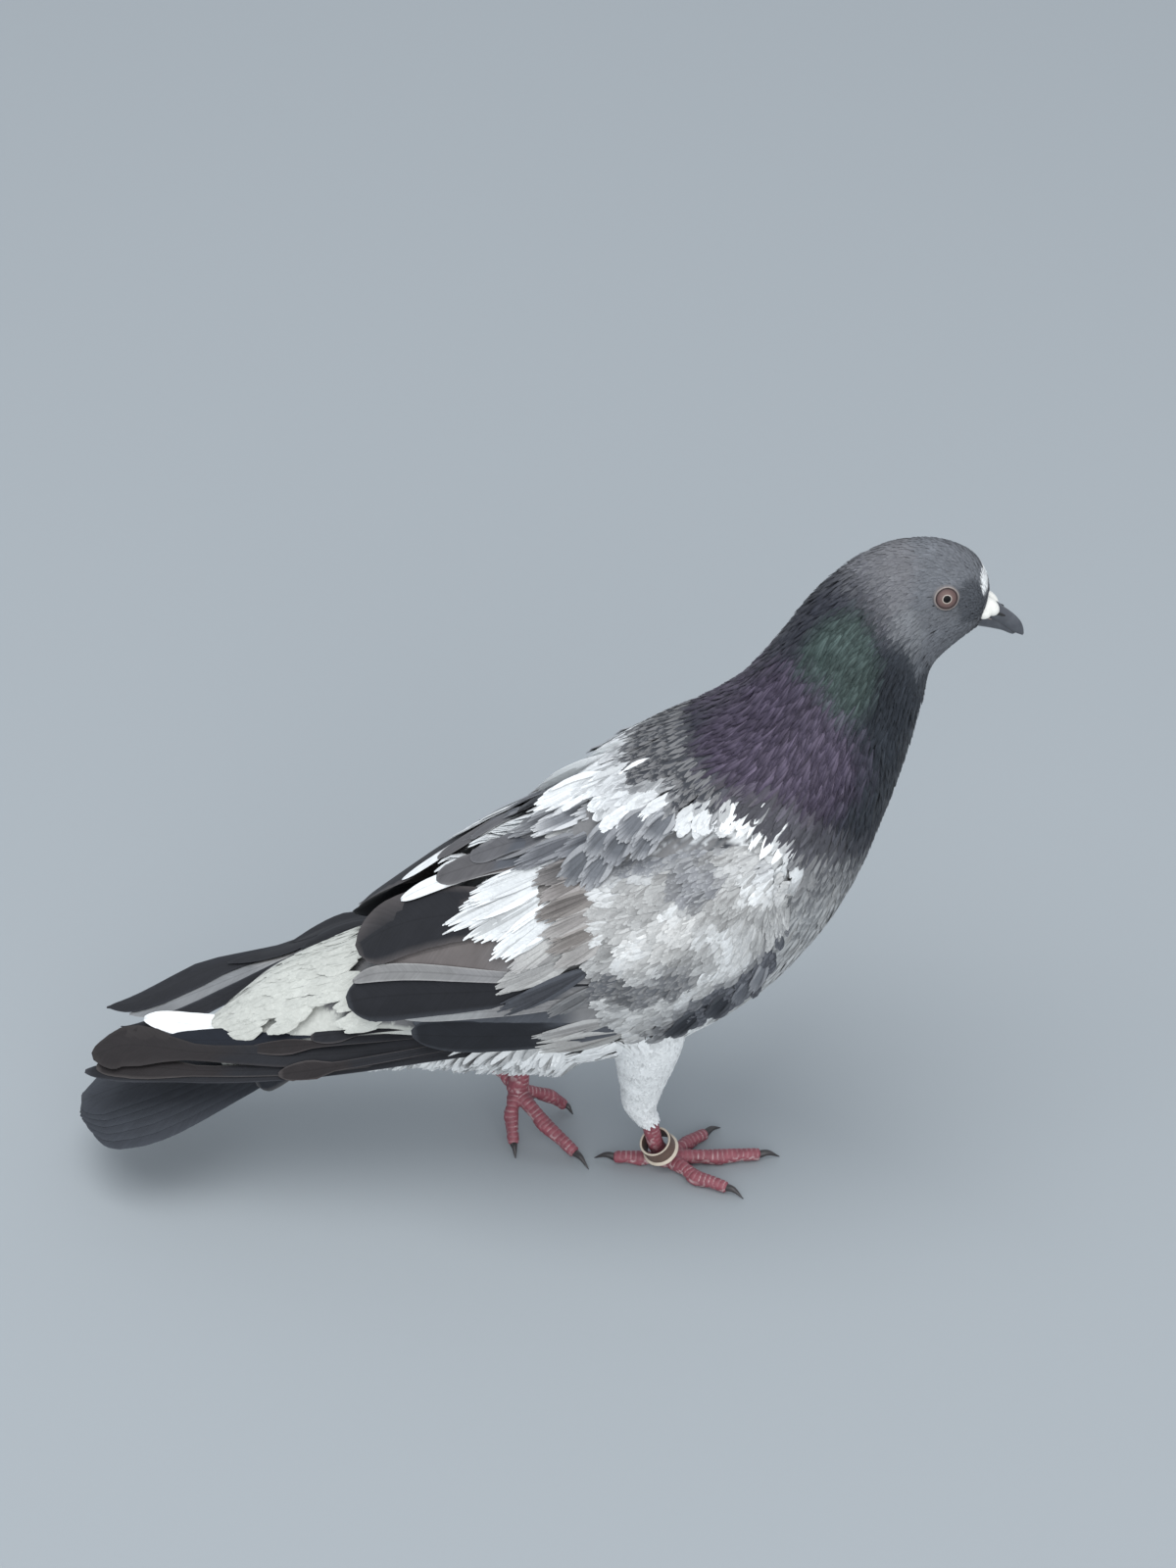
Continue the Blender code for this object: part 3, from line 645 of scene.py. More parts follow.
def lay_coat(plumage, roots, length, width, lift, colours, seed, profile, heading=0.0, spread=0.2,
             camber=0.14, thickness=0.14, ragged=0.12, fringe=0.45, fleck=0.35, gloss=0.0, roll=0.2,
             tone=0.12):
    """Lays small single feathers over the body from their roots and paints them."""
    count = len(roots[0])
    length, width = varied(length, 0.14), varied(width, 0.14)
    heading = heading + spread * (random.random(count) - 0.5)
    high = lift[1] * (0.6 + 0.8 * random.random(count))
    low = np.full(count, lift[0])
    spines, normals, ends = comb(
        body_surface, *roots, (heading, heading), length, plumage.shares, body_middle, low, high
    )
    normals = rolled(spines, normals, roll * (random.random(count) - 0.5))
    points = plumage.lay(spines, normals, width[:, None] / 2 * np.array(profile), camber, thickness, ragged)
    vane, edge = (tint[:, None, None] for tint in colours(*seen_part(roots, ends), seed))
    sides = smoothly(np.abs(plumage.across), 1 - fringe, 1.0)
    end = smoothly(plumage.shares, 1 - fringe, 1.0)
    rim = np.maximum(sides[None, :], end[:, None])[None, ..., None]
    clump = mottle(body_surface(*roots), 6.0, seed + 2) - 0.5
    shade = 1 + tone * (random.random(count) - 0.5 + 0.9 * clump)
    grain = 1 + fleck * grained(points, seed, 1.7, 5.0, 0.6)
    tints = (vane * (1 - rim) + edge * rim) * grain[..., None] * shade[:, None, None, None]
    gloss = np.broadcast_to(gloss, count)[:, None, None]
    plumage.add(points, tints, gloss, coat_places(body_surface(*roots)))


SLIVER_ROWS = (0.0, 0.4, 0.72, 0.9, 1.0)
TUFT_ROWS = (0.0, 0.15, 0.3, 0.45, 0.6, 0.75, 0.9, 1.0)
SLIVER_SHAPE = np.array((0.45, 1.0, 0.85, 0.6, 0.2))


def lay_fans(plumage, surface, roots, length, width, lift, colours, seed, heading=0.0, spread=0.25, slivers=9,
             fringe=0.22, fleck=0.12, drape=None, loose=0.05, flecks=None, streaks=0.1, fullness=1.5,
             inside=body_middle):
    """Lays soft contour feathers, each a fan of slivers that part towards its rounded end."""
    count = len(roots[0])
    whole = (count, slivers)
    length, width = varied(length, 0.12), varied(width, 0.12)
    heading = (heading + spread * (random.random(count) - 0.5))[:, None]
    fan = np.linspace(-1, 1, slivers)
    opened = (np.arcsin(np.clip(0.43 * width / length, 0, 0.42)) / 0.42)[:, None]
    first = heading + opened * fan + loose * (random.random(whole) - 0.5)
    last = heading - 0.16 * opened * fan + 2 * loose * (random.random(whole) - 0.5)
    reach = length[:, None] * (1 - 0.26 * fan**2) * (0.94 + 0.12 * random.random(whole))
    high = lift[1] * (0.7 + 0.6 * random.random((count, 1))) - 0.10 * fan**2 + 0.015 * random.random(whole)
    low = np.broadcast_to(lift[0] - 0.1 * fan**2, whole)
    far_p, far_q = (np.repeat(root, slivers) for root in roots)
    spines, normals, ends = comb(
        surface, far_p, far_q, (first.ravel(), last.ravel()), reach.ravel(), plumage.shares, inside,
        low.ravel(), high.ravel(),
    )
    if drape is not None:
        spines = draped(spines, normals, drape, np.interp(plumage.shares, (0, 1), lift))
    turn = 0.16 * np.tile(fan, count) + 0.12 * (random.random(count * slivers) - 0.5)
    normals = rolled(spines, normals, -turn)
    halves = np.repeat(fullness * width / slivers, slivers)[:, None]
    points = plumage.lay(
        spines, normals, halves * np.interp(plumage.shares, SLIVER_ROWS, SLIVER_SHAPE), 0.03, 0.06
    )
    seen = seen_part(roots, (end.reshape(whole)[:, slivers // 2] for end in ends))
    vane, edge = colours(*seen, seed)
    if flecks is not None:
        vane, edge = flecks(*seen, vane, edge)
    vane, edge = (np.repeat(tint, slivers, 0)[:, None, None] for tint in (vane, edge))
    sides = smoothly(np.abs(fan), 1 - fringe, 1.05)[:, None]
    end = smoothly(plumage.shares, 1 - fringe, 1.05)[None, :]
    rim = np.tile(np.maximum(sides, end), (count, 1))[:, :, None, None]
    shade = np.repeat(1 + 0.08 * (random.random(count) - 0.5), slivers)
    shade = shade * (1 - streaks * smoothly(random.random(count * slivers), 0.6, 0.95))
    grain = 1 + fleck * grained(points, seed, 1.6, 4.5, 0.5)
    tints = (vane * (1 - rim) + edge * rim) * grain[..., None] * shade[:, None, None, None]
    plumage.add(points, tints, 0.0, np.repeat(coat_places(surface(*roots)), slivers, 0))


def lay_tufts(plumage, surface, table, seed, **shape):
    """Lays soft feathers from a table of their roots and tips."""
    roots, tips = (np.array([row[column] for row in table]).T for column in (0, 1))
    widths, vanes, fringes, lifts = (np.array([row[column] for row in table]) for column in (2, 3, 4, 5))
    _, along, across, _ = read_frames(surface, *(roots + tips) / 2, body_middle)
    run, rise = ((tips - roots) * [np.linalg.norm(way, axis=-1) for way in (along, across)])
    lift = lifts[:, None]
    lay_fans(
        plumage, surface, roots, np.hypot(run, rise), widths, (np.minimum(lift - 1.2, -0.4), lift),
        lambda p, q, seed: (vanes, fringes), seed, heading=np.arctan2(rise, run), spread=0.05, slivers=19,
        **shape,
    )


def rows_of_roots(first, last, gap_along, gap_across, surface, span):
    """Roots in staggered rows over a surface, with gaps in millimetres that follow the place."""
    jitter = 0.4  # how far roots stray, as a share of the gap
    places = [first]
    middle = np.array([(span[0] + span[1]) / 2])
    while places[-1] < last:
        here = np.array([places[-1]])
        speed = np.linalg.norm(surface(here + 0.01, middle) - surface(here - 0.01, middle)) / 0.02
        places.append(places[-1] + gap_along(places[-1]) / max(speed, 0.5))
    found = []
    line = np.linspace(*span, 90)
    for number, (place, following) in enumerate(itertools.pairwise(places)):
        curve = surface(np.full(len(line), place), line)
        gap, step = gap_across(place), following - place
        spots = np.arange(gap * (0.25 + 0.5 * (number % 2)), run_along(curve)[-1], gap)
        q = np.interp(spots + jitter * gap * (random.random(len(spots)) - 0.5), run_along(curve), line)
        p = place + jitter * step * (random.random(len(spots)) - 0.5)
        _, along, _, _ = read_frames(surface, p, q, np.zeros_like)
        speed = np.linalg.norm(along, axis=-1) * step / gap_along(place)
        keep = random.random(len(spots)) < np.clip(speed * 1.15, 0.25, 1)
        found.append(np.stack([p, q], -1)[keep])
    return np.concatenate(found).T


def run_along(line):
    """How far each point of a line is from its start, along it."""
    return np.concatenate([[0], np.cumsum(np.linalg.norm(np.diff(line, axis=0), axis=1))])


def by_place(stops, *rows):
    """Sizes that change with the place, one for each row of values at the stops."""
    return [lambda place, row=row: np.interp(place, stops, row) for row in rows]


# ---------------------------------------------------------------- materials


class Value:
    """A number socket of a material's nodes, on which Python's arithmetic adds Math nodes."""

    def __init__(self, maker, socket):
        self.maker, self.socket = maker, socket

    def _math(self, operation, *numbers):
        return self.maker.node("ShaderNodeMath", {"operation": operation}, *numbers)

    def __add__(self, other):
        return self._math("ADD", self, other)

    def __radd__(self, other):
        return self._math("ADD", other, self)

    def __sub__(self, other):
        return self._math("SUBTRACT", self, other)

    def __rsub__(self, other):
        return self._math("SUBTRACT", other, self)

    def __mul__(self, other):
        return self._math("MULTIPLY", self, other)

    def __truediv__(self, other):
        return self._math("DIVIDE", self, other)

    def __abs__(self):
        return self._math("ABSOLUTE", self)


class Maker:
    """Builds one material's nodes round its Principled shader."""

    def __init__(self, name, **constants):
        self.material = bpy.data.materials.new(name)
        self.material.use_nodes = True
        self.tree = self.material.node_tree
        self.shader = self.tree.nodes["Principled BSDF"]
        self.feed(**constants)

    def node(self, kind, settings=None, *inputs, output=0, **named):
        """Adds a node: its settings first, then the values or links of its sockets."""
        made = self.tree.nodes.new(kind)
        for setting, value in (settings or {}).items():
            setattr(made, setting, value)
        for place, value in list(enumerate(inputs)) + list(named.items()):
            self._feed(made.inputs[place], value)
        return Value(self, made.outputs[output])

    def _feed(self, socket, value):
        if isinstance(value, Value):
            self.tree.links.new(value.socket, socket)
        else:
            socket.default_value = value

    def feed(self, **sockets):
        """Sets or links the shader's sockets by name, with underscores for spaces."""
        for socket, value in sockets.items():
            self._feed(self.shader.inputs[socket.replace("_", " ")], value)

    def ramp(self, place, stops):
        """A colour that changes with a number."""
        made = self.node("ShaderNodeValToRGB", None, place)
        elements = made.socket.node.color_ramp.elements
        for position, colour in stops[1:-1]:
            elements.new(position).color = (*colour, 1.0)
        for element, (position, colour) in ((elements[0], stops[0]), (elements[-1], stops[-1])):
            element.position = position
            element.color = (*colour, 1.0)
        return made

    def mix(self, share, first, second):
        """A colour between two."""
        made = self.tree.nodes.new("ShaderNodeMix")
        made.data_type = "RGBA"
        colours = (colour if isinstance(colour, Value) else (*colour, 1.0) for colour in (first, second))
        for socket, value in zip((0, 6, 7), (share, *colours)):
            self._feed(made.inputs[socket], value)
        return Value(self, made.outputs[2])

    def scaled(self, colour, factor):
        """A colour made lighter or darker by a number."""
        return self.node("ShaderNodeVectorMath", {"operation": "SCALE"}, colour, Scale=factor)

    def noise(self, size, detail=2.0):
        """Noise that changes over about size metres of the piece."""
        place = self.node("ShaderNodeTexCoord", output="Object")
        return self.node("ShaderNodeTexNoise", None, Vector=place, Scale=1 / size, Detail=detail)

    def streaks(self, place, detail):
        """Noise along a line of numbers."""
        return self.node("ShaderNodeTexNoise", {"noise_dimensions": "1D"}, W=place, Scale=1.0, Detail=detail)

    def attribute(self, name, output="Color"):
        return self.node("ShaderNodeAttribute", {"attribute_name": name}, output=output)

    def bump(self, height, distance, strength=1.0):
        normal = self.node(
            "ShaderNodeBump", None, Strength=strength, Distance=distance, Height=height, output="Normal"
        )
        self.feed(Normal=normal)


def feather_material(name, barb_gap=0.05, streak=0.26, shaft=None):
    """Feathers: the painted tint with barbs that run out from the shaft, glossy where it is iridescent."""
    maker = Maker(name, Roughness=0.8, Sheen_Weight=0.05, Sheen_Roughness=0.5, Specular_IOR_Level=0.18)
    split = maker.node("ShaderNodeSeparateXYZ", None, maker.node("ShaderNodeUVMap", {"uv_map": "Vane"}))
    across = abs(split)
    along = Value(maker, split.socket.node.outputs[1])
    barb_place = along - across * 1.1
    fine = maker.streaks(barb_place / barb_gap, 1.5)
    coarse = maker.streaks(barb_place / (3.2 * barb_gap), 1.0)
    tint = maker.attribute("tint")
    gloss = maker.attribute("gloss", "Fac")
    cloud = maker.noise(0.004)
    tone = (1 - streak * 0.5 - 0.19) + fine * streak + coarse * 0.2 + cloud * 0.18
    colour = maker.scaled(tint, tone)
    if shaft:
        width, shade = shaft
        line = maker.node(
            "ShaderNodeMapRange", {"interpolation_type": "SMOOTHSTEP"}, across, width * 0.5, width, 1.0, 0.0
        )
        colour = maker.mix(line * 0.7, colour, maker.scaled(colour, shade))
    maker.feed(Base_Color=colour, Roughness=0.78 - gloss * 0.3, Metallic=gloss * 0.3)
    maker.bump(fine, 0.00008, 0.8)
    return maker.material


# Colours from the middle of the pupil outwards, as shares of IRIS_REACH millimetres.
IRIS_REACH = 4.0
IRIS_STOPS = (
    (0.0, srgb(3, 3, 4)),
    (0.295, srgb(4, 4, 5)),
    (0.32, srgb(168, 160, 152)),
    (0.35, srgb(172, 162, 154)),
    (0.39, srgb(104, 86, 82)),
    (0.70, srgb(90, 73, 71)),
    (0.80, srgb(60, 50, 50)),
    (0.86, srgb(32, 28, 29)),
)


def eye_material():
    """Iris and pupil in rings round the middle of the eye's own map, under a wet gloss."""
    maker = Maker("eye_rings", Roughness=0.35, Specular_IOR_Level=0.1, Coat_Weight=0.05, Coat_Roughness=0.06)
    place = maker.node("ShaderNodeUVMap", {"uv_map": "Iris"})
    radius = maker.node("ShaderNodeVectorMath", {"operation": "LENGTH"}, place, output="Value")
    fibre = maker.noise(0.0006, 3.0)
    colour = maker.ramp((radius + fibre * 0.2 - 0.1) / IRIS_REACH, IRIS_STOPS)
    maker.feed(Base_Color=maker.scaled(colour, 0.82 + fibre * 0.36))
    return maker.material


def foot_material():
    """Pink-red scaly skin with whitish edges to the scales."""
    maker = Maker("foot_scales", Roughness=0.55)
    edge = maker.attribute("edge", "Fac")
    grain = maker.noise(0.0035, 3.0)
    fine = maker.noise(0.0006, 2.0)
    red = maker.mix(grain, srgb(96, 44, 54), srgb(148, 80, 90))
    colour = maker.mix(edge * 0.75, red, srgb(184, 164, 164))
    maker.feed(Base_Color=maker.scaled(colour, 0.82 + fine * 0.36))
    maker.bump(fine, 0.00012, 0.7)
    return maker.material


def skin_material():
    """Skin under the coat, in the coat's own markings."""
    maker = Maker("skin_under_coat", Roughness=0.85)
    tint = maker.attribute("tint")
    grain = maker.noise(0.0015, 3.0)
    maker.feed(Base_Color=maker.scaled(tint, 0.78 + grain * 0.3))
    maker.bump(grain, 0.0003)
    return maker.material


def plain_material(name, colour, darker, size, roughness, relief=0.0001, **constants):
    """A surface that varies between two colours over about size metres."""
    maker = Maker(name, Roughness=roughness, **constants)
    grain = maker.noise(size, 4.0)
    maker.feed(Base_Color=maker.mix(grain, darker, colour))
    maker.bump(grain, relief)
    return maker.material


# ---------------------------------------------------------------- skin


def loft(rings, closed=False):
    """A closed bmesh through rings of equally many points, in millimetres: capped at its ends, or a hoop."""
    bm = bmesh.new()
    loops = []
    for ring in rings:
        points = [bm.verts.new(Vector((np.asarray(point) + SHIFT) * MM)) for point in ring]
        loops.append([bm.edges.new((a, b)) for a, b in zip(points, points[1:] + points[:1])])
    for one, other in zip(loops, loops[1:]):
        bmesh.ops.bridge_loops(bm, edges=one + other)
    if closed:
        bmesh.ops.bridge_loops(bm, edges=loops[-1] + loops[0])
    else:
        for end in (loops[0], loops[-1]):
            bmesh.ops.contextual_create(bm, geom=end)
    bmesh.ops.recalc_face_normals(bm, faces=bm.faces)
    return bm


def pulled_in(surface, places, angles, depth):
    """Rings of a surface moved in by the coat's depth at each place."""
    rings = []
    for place, by in zip(places, depth):
        ring = surface(np.full(len(angles), place), angles)
        middle = ring.mean(0)
        reach = np.linalg.norm(ring - middle, axis=1, keepdims=True)
        rings.append(middle + (ring - middle) * np.maximum(1 - by / reach, 0.3))
    return rings


def wing_core(side):
    """The flesh of a wing inside its shield."""
    surface = wing_surface(side)
    across = np.linspace(0.1, 0.88, 9)
    arch = np.sin(np.linspace(0, np.pi, 9))[:, None]
    rings = []
    for along in np.linspace(0.5, 6.5, 13):
        outer, _, _, normal = read_frames(surface, np.full(9, along), across, body_middle)
        rings.append(np.concatenate([outer - normal * 2.4, (outer - normal * (3.2 + 4 * arch))[::-1]]))
    return loft(rings)


def build_skin(finish):
    """One skin over head, neck, trunk, thighs and wings, inside them by the coat's depth."""
    places = np.linspace(0.15, LAST_RING, 90)
    angles = np.linspace(0, 2 * np.pi, 48, endpoint=False)
    depth = np.interp(places, (0, 4, 7, 9, 13, 19, 20), (0.5, 0.9, 1.4, 2.4, 3.0, 3.0, 1.5))
    parts = [loft(pulled_in(body_surface, places, angles, depth)), wing_core(-1), wing_core(1)]
    around = np.linspace(0, 2 * np.pi, 20, endpoint=False)
    for stations in (THIGH_RIGHT, THIGH_LEFT):
        run = np.linspace(0, len(stations) - 1, 12)
        parts.append(loft(pulled_in(tube_surface(stations), run, around, np.linspace(2.5, 0.8, 12))))
    mesh = remeshed(joined(parts), 0.0013, smoothing=4)
    points = place_points(mesh)
    place, angle = nearest_on_body(points)
    off_body = np.linalg.norm(points - body_surface(place, angle), axis=1)
    on_wing = (off_body > WING_CLEAR) & (points[:, 2] > THIGH_TOP)
    paint_points(mesh, np.where(on_wing[:, None], GREY, body_colours(place, angle)[0]))
    store_map(mesh, "Unwrap", unrolled(place, angle)[corners(mesh)])
    skin = finished("skin", mesh, finish)
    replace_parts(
        skin, "head", "neck", "trunk", "thigh_left", "thigh_right", "wing_left", "wing_right"
    )
    return skin


def remeshed(bm, voxel, smoothing):
    """The outside of overlapping closed pieces as one mesh, smoothed."""
    mesh = mesh_from(bm, "whole")
    holder = bpy.data.objects.new("holder", mesh)
    bpy.context.scene.collection.objects.link(holder)
    remesh = holder.modifiers.new("one_surface", "REMESH")
    remesh.mode = "VOXEL"
    remesh.voxel_size = voxel
    smooth = holder.modifiers.new("smooth", "SMOOTH")
    smooth.factor = 0.5
    smooth.iterations = smoothing
    made = bpy.data.meshes.new_from_object(holder.evaluated_get(bpy.context.evaluated_depsgraph_get()))
    bpy.data.objects.remove(holder)
    bpy.data.meshes.remove(mesh)
    return made


def body_samples():
    """A search tree over the body's surface, with each sample's ring number and angle."""
    rings, around = np.linspace(0, LAST_RING, 201), np.linspace(-np.pi, np.pi, 96, endpoint=False)
    place, angle = (grid.ravel() for grid in np.meshgrid(rings, around))
    tree = KDTree(len(place))
    for number, point in enumerate(body_surface(place, angle)):
        tree.insert(point, number)
    tree.balance()
    return tree, place, angle


SAMPLES = body_samples()


def nearest_on_body(points):
    """Ring numbers and angles of the body's surface nearest to each point."""
    tree, place, angle = SAMPLES
    found = np.array([tree.find(point)[1] for point in points])
    return place[found], angle[found]


def unrolled(place, angle):
    """Places on the coat's map, which unrolls the body by angle and ring number."""
    return np.stack([(angle / (2 * np.pi)) % 1, place / LAST_RING], -1)


def coat_places(points):
    """Where roots fall on the coat's map."""
    return unrolled(*nearest_on_body(points))


# ---------------------------------------------------------------- coat of the body


SMALL_ROWS = (0.0, 0.4, 0.75, 1.0)
HACKLE_ROWS = (0.0, 0.3, 0.6, 0.85, 1.0)


def surface_tree(*names):
    """A ray tree over some of the solids."""
    points, faces = [], []
    for name in names:
        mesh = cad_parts[name].data
        base = len(points)
        points += [Vector(vert.co) / MM - Vector(SHIFT) for vert in mesh.vertices]
        faces += [[base + v for v in face.vertices] for face in mesh.polygons]
    return BVHTree.FromPolygons(points, faces)


def meets(tree, starts, ways, reach):
    """Whether a line from each start meets one of the solids in a tree."""
    lines = zip(starts, ways)
    return np.array([tree.ray_cast(Vector(start), Vector(way), reach)[0] is not None for start, way in lines])


def kept_off(roots, length, heading, tree):
    """Lengths of the body's feathers, cut so that their ends stop at the edge of the wings in a tree."""
    p, q = roots
    _, along, across, _ = read_frames(body_surface, p, q, body_middle)
    run = np.cos(heading) / np.linalg.norm(along, axis=-1)
    rise = np.sin(heading) / np.linalg.norm(across, axis=-1)
    fits = np.zeros(len(p))
    for share in (0.3, 0.5, 0.7, 0.85, 1.0):
        reach = np.maximum(share * length - WING_OVERLAP, 0)
        ends = body_surface(p + reach * run, q + reach * rise)
        out = unit(ends - body_middle(ends))
        fits = np.where(meets(tree, ends + 16 * out, -out, 22), fits, share)
    return length * fits


def draped(spines, normals, tree, lift):
    """Middle lines laid on the outside of some solids, from above them."""
    laid = spines.copy()
    for feather in range(len(spines)):
        for row in range(spines.shape[1]):
            normal = Vector(normals[feather, row])
            start = Vector(spines[feather, row]) + normal * 14
            hit = tree.ray_cast(start, -normal, 26)[0]
            if hit is not None:
                laid[feather, row] = np.array(hit) + np.array(normal) * lift[row]
    laid[:, 1:-1] = 0.5 * laid[:, 1:-1] + 0.25 * (laid[:, 2:] + laid[:, :-2])
    return laid


def rump_surface(place, angle):
    """The body's surface with the mound of coverts over the tail's root."""
    ring, turn, height = RUMP_MOUND
    mound = height * np.exp(-(((place - ring) / 1.1) ** 2)) * np.exp(-(((angle - turn) / 0.75) ** 2))
    return body_surface(place, angle) + mound[..., None] * np.array((0.0, 0.25, 1.0))


def build_head(finish):
    """Short flat tufts over the head, finest round the bill and eyes."""
    head = Plumage("head_feathers", SMALL_ROWS)
    gap_along, gap_across, length, width = by_place(
        (0, 2, 6.6), (0.75, 0.95, 1.3), (0.65, 0.75, 1.0), (2.2, 3.2, 5.0), (0.75, 0.9, 1.25)
    )
    roots = rows_of_roots(0.1, 6.6, gap_along, gap_across, body_surface, ALL_ROUND)
    here = body_surface(*roots)
    gaps = [np.linalg.norm(here - EYE * (1, side, 1), axis=1) for side in (1, -1)]
    bare = np.linalg.norm((here - CERE) * (0.8, 0.75, 1.0), axis=1) < CERE_BARE
    roots = roots[:, (np.minimum(*gaps) > EYE_BARE) & ~bare]
    lay_coat(
        head, roots, length(roots[0]), width(roots[0]), (-0.35, 0.1), body_colours, 11, (0.7, 1.0, 0.75, 0.2),
        spread=0.35, camber=0.2, thickness=0.1, ragged=0.05, fringe=0.6, fleck=0.3, tone=0.16,
    )
    return head.build(finish, "head_plumage")


def hackle_colours(place, angle, seed):
    """The body's colours with no pale fringes: the hackles' edges keep the neck marks' darker fringes, which
    are painted shade for the slits between them.
    """
    vane, edge = body_colours(place, angle, seed)
    return vane, np.minimum(edge, 1.1 * vane)


def build_neck(finish):
    """Narrow pointed hackles down the neck, with the sheen on their ends."""
    neck = Plumage("neck_hackles", HACKLE_ROWS)
    gap_along, gap_across, length, width = by_place(
        (6.2, 8, 11.9), (1.7, 2.3, 3.2), (1.05, 1.3, 1.7), (6.0, 8.5, 12.5), (1.3, 1.8, 2.7)
    )
    roots = rows_of_roots(6.2, 11.2, gap_along, gap_across, body_surface, ALL_ROUND)
    place = roots[0]
    wave = mottle(body_surface(*roots), 9.0, 5) - 0.5
    lay_coat(
        neck, roots, length(place), width(place), (-0.6, 0.35), hackle_colours, 12,
        (0.55, 1.0, 0.9, 0.5, 0.08), heading=0.45 * wave, spread=0.32, camber=0.45, thickness=0.12,
        ragged=0.06, fringe=0.7,
        gloss=smoothly(place, 6.6, 7.6) * fading(place, 10.4, 11.4), roll=0.5, tone=0.45,
    )
    return neck.build(finish, "neck_plumage")


def trunk_colours(place, angle, seed):
    """The body's colours with flecks on the back, grizzled feathers on the breast and bars by the vent."""
    vane, edge = body_colours(place, angle, seed)
    degrees = np.degrees(np.abs(angle))
    points = body_surface(place, angle)
    dark = smoothly(mottle(points, 5.0, 51), 0.70, 0.80) * smoothly(place, 12.4, 12.9)
    dark = (dark * fading(place, 14.4, 15.2) * 0.5)[:, None]
    light = smoothly(mottle(points, 5.0, 52), 0.55, 0.75) * smoothly(place, 11.2, 12.0)
    light = (light * fading(place, 13.0, 13.6) * smoothly(degrees, 70, 95))[:, None]
    bars = smoothly(place, 15.6, 16.4) * fading(place, 17.8, 18.6) * smoothly(degrees, 92, 104)
    bars = (bars * smoothly(mottle(points, 3.0, 53), 0.45, 0.7))[:, None]
    vane = blended(blended(vane, SLATE, dark), PALE, 0.6 * light)
    return blended(vane, GREY, 0.75 * bars), blended(edge, GREY, 0.6 * dark)


def build_trunk(finish):
    """Mantle and rump, breast, and flanks with the belly, in three pieces."""
    wings = surface_tree("wing_left", "wing_right", "primaries_left", "primaries_right")
    shell = surface_tree("neck", "trunk", "wing_left", "wing_right", "tail")
    gap_along, gap_across, length, width = by_place(
        (11.2, 13, 19.9), (3.2, 4.6, 5.2), (3.0, 4.4, 5.0), (9.5, 12.5, 15.0), (5.4, 8.0, 8.6)
    )
    roots = rows_of_roots(11.2, 19.9, gap_along, gap_across, rump_surface, ALL_ROUND)
    place, angle = roots
    degrees = np.degrees(np.abs(angle))
    here, _, _, normal = read_frames(body_surface, *roots, body_middle)
    covered = meets(wings, here + normal * 0.6, normal, 26)
    tucked = covered & (place < 13.2)
    mantle = (degrees < 62) & (place < 15.5) & ~covered
    rump = (degrees < 80) & (place > 17.2)
    vent = (degrees > 98) & (degrees < 160) & (place > 15.6) & (place < 18)
    rest = ~mantle & ~rump & ~vent & (~covered | tucked)
    rump = rump & ((place <= 17.4) | (np.abs(angle) <= 0.75))
    straight = np.zeros(len(place))
    sag = 0.5 * np.sign(angle) * smoothly(np.abs(angle), 0.5, 1.0)
    width, full = width(place), length(place)
    length = np.where(vent | tucked, full, kept_off(roots, full, np.where(mantle, sag, 0), wings))
    mantle, rump, rest = (chosen & (length > 0) for chosen in (mantle, rump, rest))
    front = place < 13.6
    upper, breast, belly = (
        Plumage(f"{part}_feathers", SLIVER_ROWS) for part in ("mantle", "breast", "belly")
    )
    for piece, chosen, surface, lift, drape, seed, heading, fringe, streaks in (
        (upper, mantle, body_surface, (-0.1, 0.5), shell, 13, sag, 0.12, 0.14),
        (upper, rump, rump_surface, (-0.4, 0.12), None, 14, straight, 0.2, 0.06),
        (breast, rest & front, body_surface, (-0.5, 0.15), None, 15, straight, 0.16, 0.1),
        (belly, rest & ~front, body_surface, (-0.5, 0.15), None, 17, straight, 0.16, 0.1),
        (belly, vent, body_surface, (-0.5, 3.2), None, 16, 0.5 * np.sign(angle), 0.2, 0.5),
    ):
        lay_fans(
            piece, surface, roots[:, chosen], length[chosen], width[chosen], lift, trunk_colours, seed,
            heading=heading[chosen], drape=drape, fringe=fringe, streaks=streaks,
        )
    for piece in (upper, breast, belly):
        piece.build(finish, "body_plumage")


# ---------------------------------------------------------------- wings


